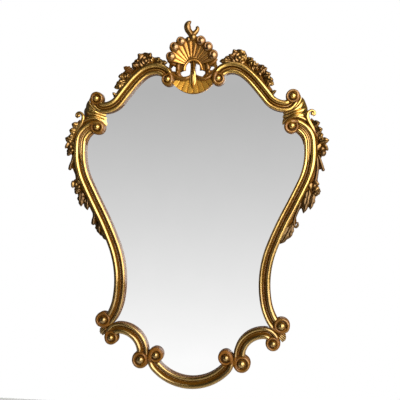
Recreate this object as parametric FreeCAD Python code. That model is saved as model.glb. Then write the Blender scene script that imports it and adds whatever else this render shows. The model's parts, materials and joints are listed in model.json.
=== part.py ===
import FreeCAD, Part
import math
import os

# Rococo wall mirror of carved and gilded wood, in millimetres.
# X points right, Z up, and the front faces -Y. The wall is the plane y = 0, and the origin
# lies on the centre line, level with the pivots of the two hanger rings.

# Frame
frame_width = 590.0            # over the outer edges of the side rails
frame_height = 788.0           # lower edge of the apron to upper edge of the top rails
hang_height = 571.0            # lower edge of the apron to the hanging line
rail_width = 27.5
rail_depth = 26.0              # back to the crest of the outer bead
outer_bead_radius = 6.0
inner_bead_radius = 4.5
inner_bead_drop = 3.0          # inner crest behind the outer one
bead_roll_deg = 20.0           # how far each bead turns under into the cove
cove_floor = 13.5              # wood behind the cove
top_hook_run = 20.5            # lowest point of a top rail out to its shoulder end
top_hook_rise = 23.0           # and up to it
toe_bite = 1.5                 # how far the lower scroll is let into the apron
overrun = 5.0                  # cutters reach this far past what they cut

# Volutes at the rail ends
crest_volute_radius = 15.5
shoulder_volute_radius = 16.5
side_volute_radius = 17.5
knee_volute_radius = 19.5
calf_volute_radius = 17.0
toe_volute_radius = 20.5
apron_volute_radius = 18.5
volute_depth = 24.0
volute_rim_radius = 3.5
volute_eye_radius = 5.5
volute_eye_rise = 5.0
volute_overhang = 1.0          # stands this far proud of the rail's edge

# Glass, board and rebate
glass_thickness = 4.0
board_thickness = 4.0
rebate_depth = 9.0             # back of the frame to the shelf that the glass rests on
glass_lap = 6.0                # glass hidden behind the rail
rebate_play = 1.0              # room round the glass and the board
glass_gap = 0.1
board_gap = 0.3
glass_top_drop = 42.0          # crest centre down to the top edge of the glass
glass_crest_half = 38.0        # half the length of that top edge

# Crest
crest_half_width = 46.75       # centre line to the outer edge of each top rail
crest_drop = 0.5               # crest centre below the top rails' centre line
panel_depth = 10.0
panel_radius = 46.0
panel_foot = 46.0              # crest centre down to the panel's lower edge
opening_radius = 15.5
opening_drop = 19.0
opening_waist = 7.0            # crest centre down to where the opening widens
opening_foot_half = 26.0       # half its width below that
opening_bar = 9.0              # wood left behind the central drop
side_opening_radius = 5.5
side_opening_x = 45.0
arch_radius = 21.0
arch_tube = 4.0
arch_end_radius = 5.5
drop_top = 16.0
drop_foot = 45.0
drop_radius = 5.5
c_scroll_radius = 10.0
c_scroll_tube = 3.5
shell_root = 26.0
shell_reach = 75.0             # crest centre to the middle of the top lobe
shell_root_depth = 15.0        # front of the shell at its root
shell_lip_depth = 36.0         # middle of the lobes, which stand forward
shell_wall = 8.0
rib_root_radius = 3.4
rib_end_radius = 8.0
lobe_radius = 9.5
skirt_root = 30.0
skirt_reach = 52.0
skirt_rib_root_radius = 4.5
skirt_rib_end_radius = 8.0
finial_height = 101.0          # crest centre up to the middle of the finial
finial_radius = 12.0
finial_tube = 5.5
finial_seat = 26.0
finial_foot_radius = 6.5
finial_root_share = 0.88       # of the shell's reach, where the foot of the finial starts
finial_pin_radius = 1.2
finial_pin_depth = 10.0        # middle of the top lobe down to the foot of the pin

# Sprays and garlands
stem_width = 8.0
stem_depth = 10.0              # ornaments are glued to the stem's front
leaf_thickness = 9.0
rose_radius = 20.0
rose_height = 19.0
small_flower_radius = 13.0
small_flower_height = 15.0
inner_leaf_length = 42.0
inner_leaf_width = 17.0
middle_leaf_length = 30.0
middle_leaf_width = 20.0
outer_leaf_length = 42.0
outer_leaf_width = 26.0
hook_radius = 5.0
hook_tube = 3.0
curl_radius = 6.0
curl_tube = 3.2
acanthus_width = 28.0
upper_flower_radius = 13.5
upper_flower_height = 17.0
lower_flower_radius = 12.5
lower_flower_height = 15.0
pod_length = 38.0
pod_radius = 5.5
side_leaf_length = 40.0
side_leaf_width = 15.0
tail_leaf_length = 48.0
tail_leaf_width = 15.0
collar_depth = 20.0
knee_leaf_depth = 15.0

# Joinery
dowel_radius = 2.5
dowel_play = 0.05
dowel_depth = 5.5              # dowel centre from the back of the frame
shoulder_dowel_length = 36.0
knee_dowel_length = 22.0
toe_dowel_length = 26.0
crest_dowel_length = 20.0

# Back hardware
bumper_radius = 5.0
bumper_height = 8.0            # holds the frame this far off the wall
button_width = 10.0
button_thickness = 1.6
button_inset = 8.0             # pivot from the edge of the rebate
button_reach = 13.0            # tip past the edge of the rebate
button_play = 0.1
screw_shank_radius = 1.4
screw_length = 9.0
screw_head_radius = 3.0
screw_head_height = 1.6
strap_width = 11.0
strap_length = 44.0
strap_thickness = 1.2
strap_screw_drops = (26.0, 37.0)
barrel_width = 8.0
barrel_lift = 0.2
ring_wire_radius = 1.5
ring_play = 0.08
ring_end_play = 0.5
ring_corner = 3.0
ring_leg = 12.0

# Shapes of the rails: shares across and up the frame, and the heading in degrees.
# Every rail runs anticlockwise round the glass, so the glass is on its left.
apron_shares = ((0.0, 0.0, 0), (0.299, 0.0473, 46), (0.317, 0.0868, 118))
lower_shares = ((0.0, 0.0671, 92), (0.0, 0.0907, 90), (0.727, 0.167, 0), (1.0, 0.1348, -90))
lower_knee_share = 0.711
side_shares = ((0.7716, 0.1847, 175), (0.6844, 0.213, 117), (0.6276, 0.3182, 90), (0.8213, 0.5457, 62.5),
               (1.0, 0.7324, 90), (0.9636, 0.7955, 127), (0.8427, 0.8179, 187))
top_shares = ((0.7271, 0.8764, 180), (0.41, 0.952, 130), (0.1427, 1.0, 180), (0.0, 0.9652, 270))

# Stretches of each rail that border the glass, as shares of the rail's length
apron_glass_shares = (0.0, 0.72)
lower_glass_shares = (0.16, 0.8)
side_glass_shares = (0.03, 0.87)
top_glass_shares = (0.17, 0.83)

# Places along the rails, as shares of the rail's length
garland_stem_shares = (0.43, 0.915)
spray_stem_shares = (0.33, 0.87)
button_places_shares = (("top", 0.45), ("side", 0.60), ("side", 0.25))
bumper_places_shares = (("top", 0.81), ("lower", 0.55))
hanger_stretch_shares = (0.35, 0.86)
rose_share = 0.756
small_flower_share = 0.586
hook_share = 0.345
upper_flower_share = 0.852
lower_flower_share = 0.705
acanthus_tip_share = 0.885
pod_shares = (0.822, 0.567)
# Leaves: share of the rail's length, share of the stem's width out from the rail,
# and the turn in degrees from the rail's heading
inner_leaf_shares = (0.79, 0.9, 22)
middle_leaf_shares = (0.70, 1.0, -141)
outer_leaf_shares = (0.53, 0.7, -156)
flower_leaf_shares = (0.685, 1.6, -163)
stem_leaf_shares = (0.645, 0.75, -168)
tail_leaf_shares = (0.515, 0.5, 180)
# Dowels: a place on each of two rails, as shares of its length and of half its width to the left
shoulder_dowel_shares = ((0.13, -0.33), (0.94, -0.33))
knee_dowel_shares = ((0.03, -0.33), (0.83, -0.33))
toe_dowel_shares = ((0.955, -0.5), (0.03, -0.5))
crest_dowel_shares = (0.97, -0.5)

# Outlines, as shares of a length and a half width
leaf_shares = ((0.0, 0.35), (0.22, 0.95), (0.34, 0.7), (0.5, 1.0), (0.62, 0.64), (0.76, 0.6), (1.0, 0.0))
leaf_crown_share = 0.5         # width of the crown over the width of the foot
leaf_crown_length_share = 0.93
petal_valley_share = 0.74
petal_crown_share = 0.72
rose_heart_share = 0.66
rose_out_share = 0.62          # of its radius, out from the rail
small_flower_out_share = 0.85
pod_belly_share = 0.62
pod_root_share = 0.3
# Along and across the line between two volutes
collar_shares = ((0.2, -0.1), (0.55, -0.27), (0.68, -0.29), (0.84, -0.29), (1.0, -0.2), (1.0, 0.2),
                 (0.9, 0.62), (0.7, 0.6), (0.5, 0.57), (0.36, 0.43), (0.2, 0.46), (0.07, 0.43), (0.03, 0.33),
                 (-0.05, 0.2))
knee_leaf_shares = ((0.1, 0.3), (0.2, 0.46), (0.36, 0.45), (0.56, 0.4), (0.8, 0.36), (0.66, 0.1),
                    (0.45, -0.1))
curl_shares = (0.553, 0.671)
acanthus_root_shares = (0.62, 0.6)

# Angles and reaches round the crest
rib_angles_deg = (6, 28, 49, 70, 90, 110, 131, 152, 174)
rib_reach_shares = (0.62, 0.84, 0.92, 0.97, 1.0, 0.97, 0.92, 0.84, 0.62)
rib_lobe_shares = (0.6, 1.0, 1.05, 1.0, 0.85, 1.0, 1.05, 1.0, 0.6)
skirt_angles_deg = (-142, -124.5, -107, -90, -73, -55.5, -38)
finial_sweep_deg = (65, 285)
c_scroll_sweep_deg = (95, 170)
hook_sweep_deg = (-120, 250)
curl_sweep_deg = (-60, 300)
pod_turn_deg = -161
rose_petals = 6
small_petals = 5
path_samples = 100

half_rail = rail_width / 2
half_span = (frame_width - rail_width) / 2
span_height = frame_height - rail_width
foot_z = half_rail - hang_height
pocket_edge = half_rail - glass_lap - rebate_play   # rail centre line to the wall of the rebate
forward = FreeCAD.Vector(0, -1, 0)
mirror_plane = (FreeCAD.Vector(0, 0, 0), FreeCAD.Vector(1, 0, 0))


def spot(point, depth):
    # A point of the front view, given its depth from the back of the frame
    return FreeCAD.Vector(point[0], -(bumper_height + depth), point[1])


def move(point, heading, along, left=0.0):
    # Step from a point of the front view: along a heading, then to its left
    x = point[0] + along * math.cos(heading) - left * math.sin(heading)
    z = point[1] + along * math.sin(heading) + left * math.cos(heading)
    return (x, z)


def between(start, end, shares):
    # A point given by shares along and to the left of the line from start to end
    heading = math.atan2(end[1] - start[1], end[0] - start[0])
    length = math.hypot(end[0] - start[0], end[1] - start[1])
    return move(start, heading, shares[0] * length, shares[1] * length)


class ArcPath:
    # A smooth path of tangent arcs through nodes of (x, z, heading), two arcs between each pair

    def __init__(self, nodes):
        self.arcs = []
        for start, end in zip(nodes, nodes[1:]):
            self.add_pair(start, end)
        self.length = sum(arc[3] for arc in self.arcs)

    def add_pair(self, start, end):
        facing = (math.cos(start[2]) + math.cos(end[2]), math.sin(start[2]) + math.sin(end[2]))
        run = (end[0] - start[0], end[1] - start[1])
        ahead = run[0] * facing[0] + run[1] * facing[1]
        gap = run[0] ** 2 + run[1] ** 2
        turn = 2 * (1 - math.cos(end[2] - start[2]))
        arm = (math.sqrt(ahead ** 2 + turn * gap) - ahead) / turn
        first = move(start, start[2], arm)
        last = move(end, end[2], -arm)
        middle = ((first[0] + last[0]) / 2, (first[1] + last[1]) / 2)
        heading = self.add_arc(start, start[2], middle)
        self.add_arc(middle, heading, end)

    def add_arc(self, start, heading, end):
        run = (end[0] - start[0], end[1] - start[1])
        chord = math.hypot(run[0], run[1])
        turn = 2 * ((math.atan2(run[1], run[0]) - heading + math.pi) % (2 * math.pi) - math.pi)
        bend = 2 * math.sin(turn / 2) / chord
        self.arcs.append(((start[0], start[1]), heading, bend, turn / bend))
        return heading + turn

    def on_arc(self, arc, distance):
        start, heading, bend, length = arc
        later = heading + bend * distance
        x = start[0] + (math.sin(later) - math.sin(heading)) / bend
        z = start[1] + (math.cos(heading) - math.cos(later)) / bend
        return (x, z), later

    def at(self, share):
        # Point and heading at a share of the length
        distance = share * self.length
        for arc in self.arcs[:-1]:
            if distance <= arc[3]:
                return self.on_arc(arc, distance)
            distance -= arc[3]
        return self.on_arc(self.arcs[-1], distance)

    def beside(self, share, left):
        point, heading = self.at(share)
        return move(point, heading, 0, left)

    def edges(self, shares, left, depth):
        # Edges of the path between two shares of its length, moved to its left
        made = []
        begin = 0.0
        for arc in self.arcs:
            low = max(begin, shares[0] * self.length) - begin
            high = min(begin + arc[3], shares[1] * self.length) - begin
            begin += arc[3]
            if high - low > self.length / 1e6:
                places = [self.on_arc(arc, low + part * (high - low)) for part in (0, 0.5, 1)]
                points = [spot(move(point, heading, 0, left), depth) for point, heading in places]
                made.append(Part.Arc(*points).toShape())
        return made

    def share_at_height(self, z, shares):
        # Share of the length at which a rising stretch of the path reaches a height
        low, high = shares
        for step in range(50):
            middle = (low + high) / 2
            if self.at(middle)[0][1] < z:
                low = middle
            else:
                high = middle
        return low


def frame_nodes(shares, across):
    # Nodes of a path from its shares, with across giving x from the share across
    return [(across(x), foot_z + z * span_height, math.radians(heading)) for x, z, heading in shares]


def frame_path(shares, across):
    return ArcPath(frame_nodes(shares, across))


def line(start, end):
    return Part.LineSegment(start, end).toShape()


def solid_from(edges, depth, end_depth):
    # A closed outline at one depth, extruded to another
    wire = Part.Wire(Part.__sortEdges__(edges))
    return Part.Face(wire).extrude(forward * (end_depth - depth))


def plate(points, depth, end_depth):
    # A straight-sided outline of the front view, extruded
    corners = [spot(point, depth) for point in points]
    return Part.Face(Part.makePolygon(corners + corners[:1])).extrude(forward * (end_depth - depth))


def disc(centre, radius, depth, end_depth):
    return Part.makeCylinder(radius, end_depth - depth, spot(centre, depth), forward)


def band(path, shares, left, right, depth, end_depth):
    # The strip of the front view between two offsets of a path, extruded
    left_edges = path.edges(shares, left, depth)
    right_edges = path.edges(shares, right, depth)
    ends = [line(spot(path.beside(share, left), depth), spot(path.beside(share, right), depth))
            for share in shares]
    return solid_from(left_edges + right_edges + ends, depth, end_depth)


def largest(shape):
    return max(shape.Solids, key=lambda solid: solid.Volume)


def joined(shapes):
    return largest(shapes[0].fuse(shapes[1:]).removeSplitter())


def trimmed(shape, neighbours):
    # What is left of a piece beside those that were set before it
    for other in neighbours:
        if shape.BoundBox.intersect(other.BoundBox):
            shape = largest(shape.cut(other))
    return shape


def turned(centre, points, arcs, sweep_deg=360.0):
    # A solid turned about the line through centre that points forward: points are (radius, depth),
    # and arcs maps the index of a point to the point that the arc leaving it passes through
    places = [spot((centre[0] + radius, centre[1]), depth) for radius, depth in points]
    made = []
    for index, start in enumerate(places):
        end = places[(index + 1) % len(places)]
        if index in arcs:
            radius, depth = arcs[index]
            made.append(Part.Arc(start, spot((centre[0] + radius, centre[1]), depth), end).toShape())
        else:
            made.append(line(start, end))
    return Part.Face(Part.Wire(made)).revolve(spot(centre, 0), forward, sweep_deg)


def cap_middle(radius, rise):
    # Halfway over a spherical cap from its edge to its top, as (radius, height)
    sphere = (radius ** 2 + rise ** 2) / (2 * rise)
    angle = math.asin(min(1.0, radius / sphere)) / 2
    return sphere * math.sin(angle), rise - sphere + sphere * math.cos(angle)


def dome(centre, radius, seat, height):
    # A round boss with straight sides and a spherical cap
    cap = min(radius, height) / 2
    shoulder = seat + height - cap
    points = [(0, seat), (radius, seat), (radius, shoulder), (0, seat + height)]
    bulge_radius, bulge_height = cap_middle(radius, cap)
    return turned(centre, points, {2: (bulge_radius, shoulder + bulge_height)})


def half_ring(centre, radius, tube, seat, start_deg, sweep_deg):
    # A half-round bead bent round a centre, flat at the back
    points = [(radius - tube, seat), (radius + tube, seat)]
    ring = turned(centre, points, {0: (radius, seat + tube)}, sweep_deg)
    ring.rotate(spot(centre, 0), forward, start_deg)
    return ring


def half_spindle(start, heading, stations, seat, belly=None):
    # A half-round tapered bead along a heading: stations are (along, radius), belly bulges the first run
    points = [spot(move(start, heading, along, radius), seat) for along, radius in stations]
    begin = spot(move(start, heading, stations[0][0]), seat)
    end = spot(move(start, heading, stations[-1][0]), seat)
    made = [line(begin, points[0])]
    if belly:
        made.append(Part.Arc(points[0], spot(move(start, heading, *belly), seat), points[1]).toShape())
    else:
        made.append(line(points[0], points[1]))
    if stations[-1][1] > 0:
        made.append(line(points[1], end))
    made.append(line(end, begin))
    face = Part.Face(Part.Wire(made))
    axis = FreeCAD.Vector(math.cos(heading), 0, math.sin(heading))
    return face.revolve(begin, axis, 180.0)


def leaf(root, heading, length, width, seat, thickness):
    # A toothed leaf with a flat back and a narrower crown
    def ring(length_share, width_share, depth):
        side = [(a * length * length_share, w * width / 2 * width_share) for a, w in leaf_shares]
        outline = side + [(along, -across) for along, across in reversed(side[:-1])]
        corners = [spot(move(root, heading, along, across), depth) for along, across in outline]
        return Part.makePolygon(corners + corners[:1])
    foot = ring(1, 1, seat)
    crown = ring(leaf_crown_length_share, leaf_crown_share, seat + thickness)
    return Part.makeLoft([foot, crown], True, True)


def petals(centre, radius, count, seat, height):
    # A ring of rounded petals that narrows towards its crown
    def ring(size, depth):
        made = []
        for petal in range(count):
            angles = [2 * math.pi * (petal + part) / count for part in (0, 0.5, 1)]
            reaches = [size * petal_valley_share, size, size * petal_valley_share]
            points = [spot(move(centre, angle, reach), depth) for angle, reach in zip(angles, reaches)]
            made.append(Part.Arc(*points).toShape())
        return Part.Wire(made)
    return Part.makeLoft([ring(radius, seat), ring(radius * petal_crown_share, seat + height)], True, True)


def flower(centre, radius, count, seat, height):
    heart = dome(centre, radius / 2, seat, height)
    return joined([petals(centre, radius, count, seat, height / 2), heart])


# Rails

def moulding(path):
    # Bead, cove and bead, swept along the rail
    point, heading = path.at(0)

    def at(left, depth):
        return spot(move(point, heading, 0, left), depth)
    roll = math.radians(bead_roll_deg)
    outer = (outer_bead_radius - half_rail, rail_depth - outer_bead_radius)
    inner = (half_rail - inner_bead_radius, rail_depth - inner_bead_drop - inner_bead_radius)
    outer_end = (outer[0] + outer_bead_radius * math.cos(roll),
                 outer[1] - outer_bead_radius * math.sin(roll))
    inner_end = (inner[0] - inner_bead_radius * math.cos(roll),
                 inner[1] - inner_bead_radius * math.sin(roll))
    cove = ((outer_end[0] + inner_end[0]) / 2, cove_floor)
    profile = Part.Wire([
        line(at(-half_rail, 0), at(half_rail, 0)),
        line(at(half_rail, 0), at(half_rail, inner[1])),
        Part.Arc(at(half_rail, inner[1]), at(inner[0], inner[1] + inner_bead_radius),
                 at(*inner_end)).toShape(),
        Part.Arc(at(*inner_end), at(*cove), at(*outer_end)).toShape(),
        Part.Arc(at(*outer_end), at(outer[0], rail_depth), at(-half_rail, outer[1])).toShape(),
        line(at(-half_rail, outer[1]), at(-half_rail, 0)),
    ])
    sweep = Part.BRepOffsetAPI.MakePipeShell(Part.Wire(path.edges((0, 1), 0, 0)))
    sweep.setBiNormalMode(forward)
    sweep.add(profile)
    sweep.build()
    sweep.makeSolid()
    return sweep.shape()


def volute_centre(path, end, side, radius):
    # side is 1 where the rail curls to its left, -1 where it curls to its right
    return path.beside(end, side * (radius - half_rail - volute_overhang))


def volute(centre, radius):
    floor = volute_depth - volute_rim_radius
    points = [(0, 0), (radius, 0), (radius, floor), (radius - 2 * volute_rim_radius, floor),
              (volute_eye_radius, floor), (0, floor + volute_eye_rise)]
    rim = (radius - volute_rim_radius, volute_depth)
    eye_radius, eye_height = cap_middle(volute_eye_radius, volute_eye_rise)
    return turned(centre, points, {2: rim, 4: (eye_radius, floor + eye_height)})


def envelope(path, volutes, shares=(0, 1)):
    # The rail's whole place in the front view, for trimming its neighbours
    depth = rail_depth + shell_lip_depth
    shapes = [band(path, shares, half_rail, -half_rail, -overrun, depth)]
    return joined(shapes + [disc(centre, radius, -overrun, depth) for centre, radius in volutes])


def scrolled_rail(path, volutes):
    return joined([moulding(path)] + [volute(centre, radius) for centre, radius in volutes])


crest_x = crest_half_width + half_rail
apron_half = frame_path(apron_shares, lambda share: share * half_span)
apron_reach = max(apron_half.at(step / path_samples)[0][0] for step in range(path_samples + 1))
toe_x = apron_reach + rail_width - toe_bite
lower_knee_x = lower_knee_share * half_span
apron_left_shares = tuple((-x, z, -heading) for x, z, heading in reversed(apron_shares[1:]))
top_nodes = frame_nodes(top_shares, lambda share: crest_x + share * (half_span - crest_x))
shoulder_node = (top_nodes[0][0] + top_hook_run, top_nodes[0][1] + top_hook_rise, math.radians(-90))

paths = {
    "apron": frame_path(apron_left_shares + apron_shares, lambda share: share * half_span),
    "lower": frame_path(lower_shares, lambda share: toe_x + share * (lower_knee_x - toe_x)),
    "side": frame_path(side_shares, lambda share: share * half_span),
    "top": ArcPath([shoulder_node] + top_nodes),
}
apron_end = volute_centre(paths["apron"], 1, 1, apron_volute_radius)
volutes = {
    "apron": [(apron_end, apron_volute_radius), ((-apron_end[0], apron_end[1]), apron_volute_radius)],
    "lower": [(volute_centre(paths["lower"], 0, -1, toe_volute_radius), toe_volute_radius),
              (volute_centre(paths["lower"], 1, -1, calf_volute_radius), calf_volute_radius)],
    "side": [(volute_centre(paths["side"], 0, -1, knee_volute_radius), knee_volute_radius),
             (volute_centre(paths["side"], 1, 1, side_volute_radius), side_volute_radius)],
    "top": [(volute_centre(paths["top"], 0, -1, shoulder_volute_radius), shoulder_volute_radius),
            (volute_centre(paths["top"], 1, 1, crest_volute_radius), crest_volute_radius)],
}
envelopes = {name: envelope(paths[name], volutes[name]) for name in paths}
rails = {name: scrolled_rail(paths[name], volutes[name]) for name in paths}
rails["lower"] = trimmed(rails["lower"], [envelopes["side"], envelopes["apron"]])

crest = (0.0, foot_z + span_height - crest_drop)


def glass_outline(left, depth, grow):
    # The outline of glass, board or rebate: along the rails, with straight runs behind the corners
    half = []
    half += apron_half.edges(apron_glass_shares, left, depth)
    ends = [spot(apron_half.beside(apron_glass_shares[1], left), depth)]
    stretches = (("lower", lower_glass_shares), ("side", side_glass_shares), ("top", top_glass_shares))
    for name, shares in stretches:
        half.append(line(ends[-1], spot(paths[name].beside(shares[0], left), depth)))
        half += paths[name].edges(shares, left, depth)
        ends.append(spot(paths[name].beside(shares[1], left), depth))
    top_z = crest[1] - glass_top_drop + grow
    corner = spot((glass_crest_half, top_z), depth)
    half.append(line(ends[-1], corner))
    half.append(line(corner, spot((0, top_z), depth)))
    return half + [edge.mirror(*mirror_plane) for edge in half]


def glass_solid(left, depth, end_depth, grow=0.0):
    return solid_from(glass_outline(left, depth, grow), depth, end_depth)


pocket = glass_solid(pocket_edge, -overrun, rebate_depth, rebate_play)
glass_front = rebate_depth - glass_gap
board_front = glass_front - glass_thickness - board_gap
mirror_glass = glass_solid(pocket_edge + rebate_play, glass_front - glass_thickness, glass_front)
backing_board = glass_solid(pocket_edge + rebate_play, board_front - board_thickness, board_front)
for name in rails:
    rails[name] = largest(rails[name].cut(pocket))


# Crest

def crest_point(angle_deg, reach):
    return move(crest, math.radians(angle_deg), reach)


def make_panel():
    # The pierced board that carries the shell
    head = disc(crest, panel_radius, 0, panel_depth)
    foot_corners = [(side * crest_x, crest[1] + rise) for side, rise in
                    ((-1, 0), (-1, -panel_foot), (1, -panel_foot), (1, 0))]
    foot = plate(foot_corners, 0, panel_depth)
    board = joined([head, foot])
    behind = glass_solid(pocket_edge, -overrun, panel_depth + overrun, rebate_play)
    arch = disc(crest, opening_radius, -overrun, panel_depth + overrun)
    slot_corners = [(side * opening_radius, crest[1] + rise) for side, rise in
                    ((-1, 0), (-1, -opening_drop), (1, -opening_drop), (1, 0))]
    foot_corners = [(side * opening_foot_half, crest[1] + rise) for side, rise in
                    ((-1, -opening_waist), (-1, -opening_drop), (1, -opening_drop), (1, -opening_waist))]
    slot = joined([arch, plate(slot_corners, -overrun, panel_depth + overrun),
                   plate(foot_corners, -overrun, panel_depth + overrun)])
    bar_corners = [(side * opening_bar / 2, crest[1] + rise) for side, rise in
                   ((-1, arch_radius), (-1, -drop_foot), (1, -drop_foot), (1, arch_radius))]
    slot = slot.cut(plate(bar_corners, -overrun, panel_depth + overrun))
    board = board.cut(slot).cut(behind)
    for side in (-1, 1):
        board = board.cut(disc((side * side_opening_x, crest[1]), side_opening_radius, -overrun,
                               panel_depth + overrun))
    return trimmed(board, [envelopes["top"], envelopes["top"].mirror(*mirror_plane)])


def make_shell():
    # A dished fan of ribs that end in curled lobes
    lip = shell_reach * rib_reach_shares[1]
    dish_points = [(shell_root, panel_depth), (shell_root + shell_wall, panel_depth),
                   (lip, shell_lip_depth - shell_wall), (lip, shell_lip_depth),
                   (shell_root, shell_root_depth)]
    dish = turned(crest, dish_points, {}, rib_angles_deg[-1] - rib_angles_deg[0])
    dish.rotate(spot(crest, 0), forward, rib_angles_deg[0])
    shapes = [dish]
    for angle, reach_share, lobe_share in zip(rib_angles_deg, rib_reach_shares, rib_lobe_shares):
        start = spot(crest_point(angle, shell_root + rib_root_radius), shell_root_depth)
        end = spot(crest_point(angle, shell_reach * reach_share), shell_lip_depth)
        run = end - start
        end_radius = rib_end_radius * lobe_share
        shapes.append(Part.makeCone(rib_root_radius, end_radius, run.Length, start, run))
        shapes.append(Part.makeSphere(lobe_radius * lobe_share, end))
    fan = joined(shapes)
    behind = disc(crest, shell_root + shell_reach, -overrun, panel_depth)
    return trimmed(fan, [behind, envelopes["top"], envelopes["top"].mirror(*mirror_plane)])


def make_arch():
    bead = half_ring(crest, arch_radius, arch_tube, panel_depth, 0, 180)
    ends = [dome((side * arch_radius, crest[1]), arch_end_radius, panel_depth, arch_end_radius)
            for side in (-1, 1)]
    return joined([bead] + ends)


def make_drop():
    top = (0.0, crest[1] + drop_top)
    length = drop_top + drop_foot
    stations = [(0, drop_radius * pod_root_share), (length, 0)]
    belly = (length * pod_belly_share, drop_radius)
    return half_spindle(top, math.radians(-90), stations, panel_depth, belly)


def make_skirt(drop):
    shapes = []
    for angle in skirt_angles_deg:
        start = crest_point(angle, skirt_root)
        run = skirt_reach - skirt_root
        stations = [(0, skirt_rib_root_radius), (run, skirt_rib_end_radius)]
        shapes.append(half_spindle(start, math.radians(angle), stations, panel_depth))
        end = crest_point(angle, skirt_reach)
        shapes.append(dome(end, skirt_rib_end_radius, panel_depth, skirt_rib_end_radius))
    rails_beside = [envelopes["top"], envelopes["top"].mirror(*mirror_plane)]
    return trimmed(joined(shapes), [drop] + rails_beside)


def make_finial(shell):
    centre = (0.0, crest[1] + finial_height)
    curl = half_ring(centre, finial_radius, finial_tube, finial_seat, *finial_sweep_deg)
    base = (0.0, crest[1] + shell_reach * finial_root_share)
    stations = [(0, finial_foot_radius), (centre[1] - finial_radius - base[1], finial_tube)]
    foot = half_spindle(base, math.radians(90), stations, finial_seat)
    return trimmed(joined([curl, foot]), [shell])


crest_panel = make_panel()
shell = make_shell()
shell_arch = make_arch()
central_drop = make_drop()
shell_skirt = make_skirt(central_drop)
finial = make_finial(shell)
c_scroll = trimmed(half_ring((side_opening_x, crest[1]), c_scroll_radius, c_scroll_tube, panel_depth,
                             *c_scroll_sweep_deg), [envelopes["top"], shell, shell_arch, shell_skirt])
pin_foot = (0.0, crest[1] + shell_reach - finial_pin_depth)
pin_length = finial_height - finial_radius - shell_reach + finial_pin_depth
finial_pin = Part.makeCylinder(finial_pin_radius, pin_length,
                               spot(pin_foot, finial_seat + 2 * finial_pin_radius), FreeCAD.Vector(0, 0, 1))
shell = largest(shell.cut(finial_pin))
finial = largest(finial.cut(finial_pin))


# Corner leaves, sprays and garlands of the right side

def station(name, share, out=0.0):
    # A place beside a rail, out from its outer edge, and the rail's heading there
    return paths[name].beside(share, -(half_rail + out)), paths[name].at(share)[1]


def facing(start, end):
    return math.atan2(end[1] - start[1], end[0] - start[0])


def stem(name, shares):
    return band(paths[name], shares, -half_rail, -half_rail - stem_width, 0, stem_depth)


shoulder_line = (volutes["top"][0][0], volutes["side"][1][0])
knee_line = (volutes["side"][0][0], volutes["lower"][1][0])
rail_places = [envelopes["top"], envelopes["side"], envelopes["lower"]]

collar = plate([between(*shoulder_line, share) for share in collar_shares], 0, collar_depth)
shoulder_collar = largest(trimmed(collar, rail_places).cut(pocket))
knee_leaf = plate([between(*knee_line, share) for share in knee_leaf_shares], 0, knee_leaf_depth)
knee_leaf = trimmed(knee_leaf, rail_places)
garland_stem = trimmed(stem("side", garland_stem_shares), [shoulder_collar])
spray_stem = stem("top", spray_stem_shares)


def stem_leaf(name, shares, length, width):
    share, out_share, turn_deg = shares
    root, heading = station(name, share, out_share * stem_width)
    return leaf(root, heading + math.radians(turn_deg), length, width, stem_depth, leaf_thickness)


def make_spray():
    rose_place = station("top", rose_share, rose_radius * rose_out_share)[0]
    rose_ring = petals(rose_place, rose_radius, rose_petals, stem_depth, rose_height / 2)
    rose_heart = flower(rose_place, rose_radius * rose_heart_share, small_petals, stem_depth, rose_height)
    rose = trimmed(joined([rose_ring, rose_heart]), rail_places)
    place = station("top", small_flower_share, small_flower_radius * small_flower_out_share)[0]
    small = flower(place, small_flower_radius, small_petals, stem_depth, small_flower_height)
    small = trimmed(small, rail_places)
    leaves = []
    rows = ((inner_leaf_shares, inner_leaf_length, inner_leaf_width),
            (middle_leaf_shares, middle_leaf_length, middle_leaf_width),
            (outer_leaf_shares, outer_leaf_length, outer_leaf_width))
    for shares, length, width in rows:
        blade = stem_leaf("top", shares, length, width)
        leaves.append(trimmed(blade, rail_places + [rose, small, shell] + leaves))
    hook_place = station("top", hook_share, hook_radius + hook_tube)[0]
    hook = half_ring(hook_place, hook_radius, hook_tube, stem_depth, *hook_sweep_deg)
    leaves.append(trimmed(hook, rail_places + leaves))
    return rose, small, Part.Compound(leaves)


def make_garland():
    curl_place = between(*shoulder_line, curl_shares)
    root = between(*shoulder_line, acanthus_root_shares)
    tip = station("side", acanthus_tip_share, stem_width)[0]
    length = math.hypot(tip[0] - root[0], tip[1] - root[1])
    blade = leaf(root, facing(root, tip), length, acanthus_width, stem_depth, leaf_thickness)
    curl = half_ring(curl_place, curl_radius, curl_tube, stem_depth, *curl_sweep_deg)
    upper_place = station("side", upper_flower_share, upper_flower_radius)[0]
    upper = flower(upper_place, upper_flower_radius, rose_petals, stem_depth, upper_flower_height)
    upper = trimmed(upper, rail_places)
    lower_place = station("side", lower_flower_share, lower_flower_radius)[0]
    lower = flower(lower_place, lower_flower_radius, small_petals, stem_depth, lower_flower_height)
    lower = trimmed(lower, rail_places)
    acanthus = trimmed(joined([blade, curl]), rail_places + [shoulder_collar, upper])
    pods = []
    for share in pod_shares:
        start, heading = station("side", share, stem_width)
        stations = [(0, pod_radius * pod_root_share), (pod_length, 0)]
        belly = (pod_length * pod_belly_share, pod_radius)
        pod = half_spindle(start, heading + math.radians(pod_turn_deg), stations, stem_depth, belly)
        pods.append(trimmed(pod, rail_places + [upper, lower]))
    leaves = []
    rows = ((flower_leaf_shares, side_leaf_length, side_leaf_width),
            (stem_leaf_shares, side_leaf_length, side_leaf_width),
            (tail_leaf_shares, tail_leaf_length, tail_leaf_width))
    for shares, leaf_length, width in rows:
        blade = stem_leaf("side", shares, leaf_length, width)
        leaves.append(trimmed(blade, rail_places + pods + [lower] + leaves))
    return acanthus, upper, lower, Part.Compound(pods), Part.Compound(leaves)


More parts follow.
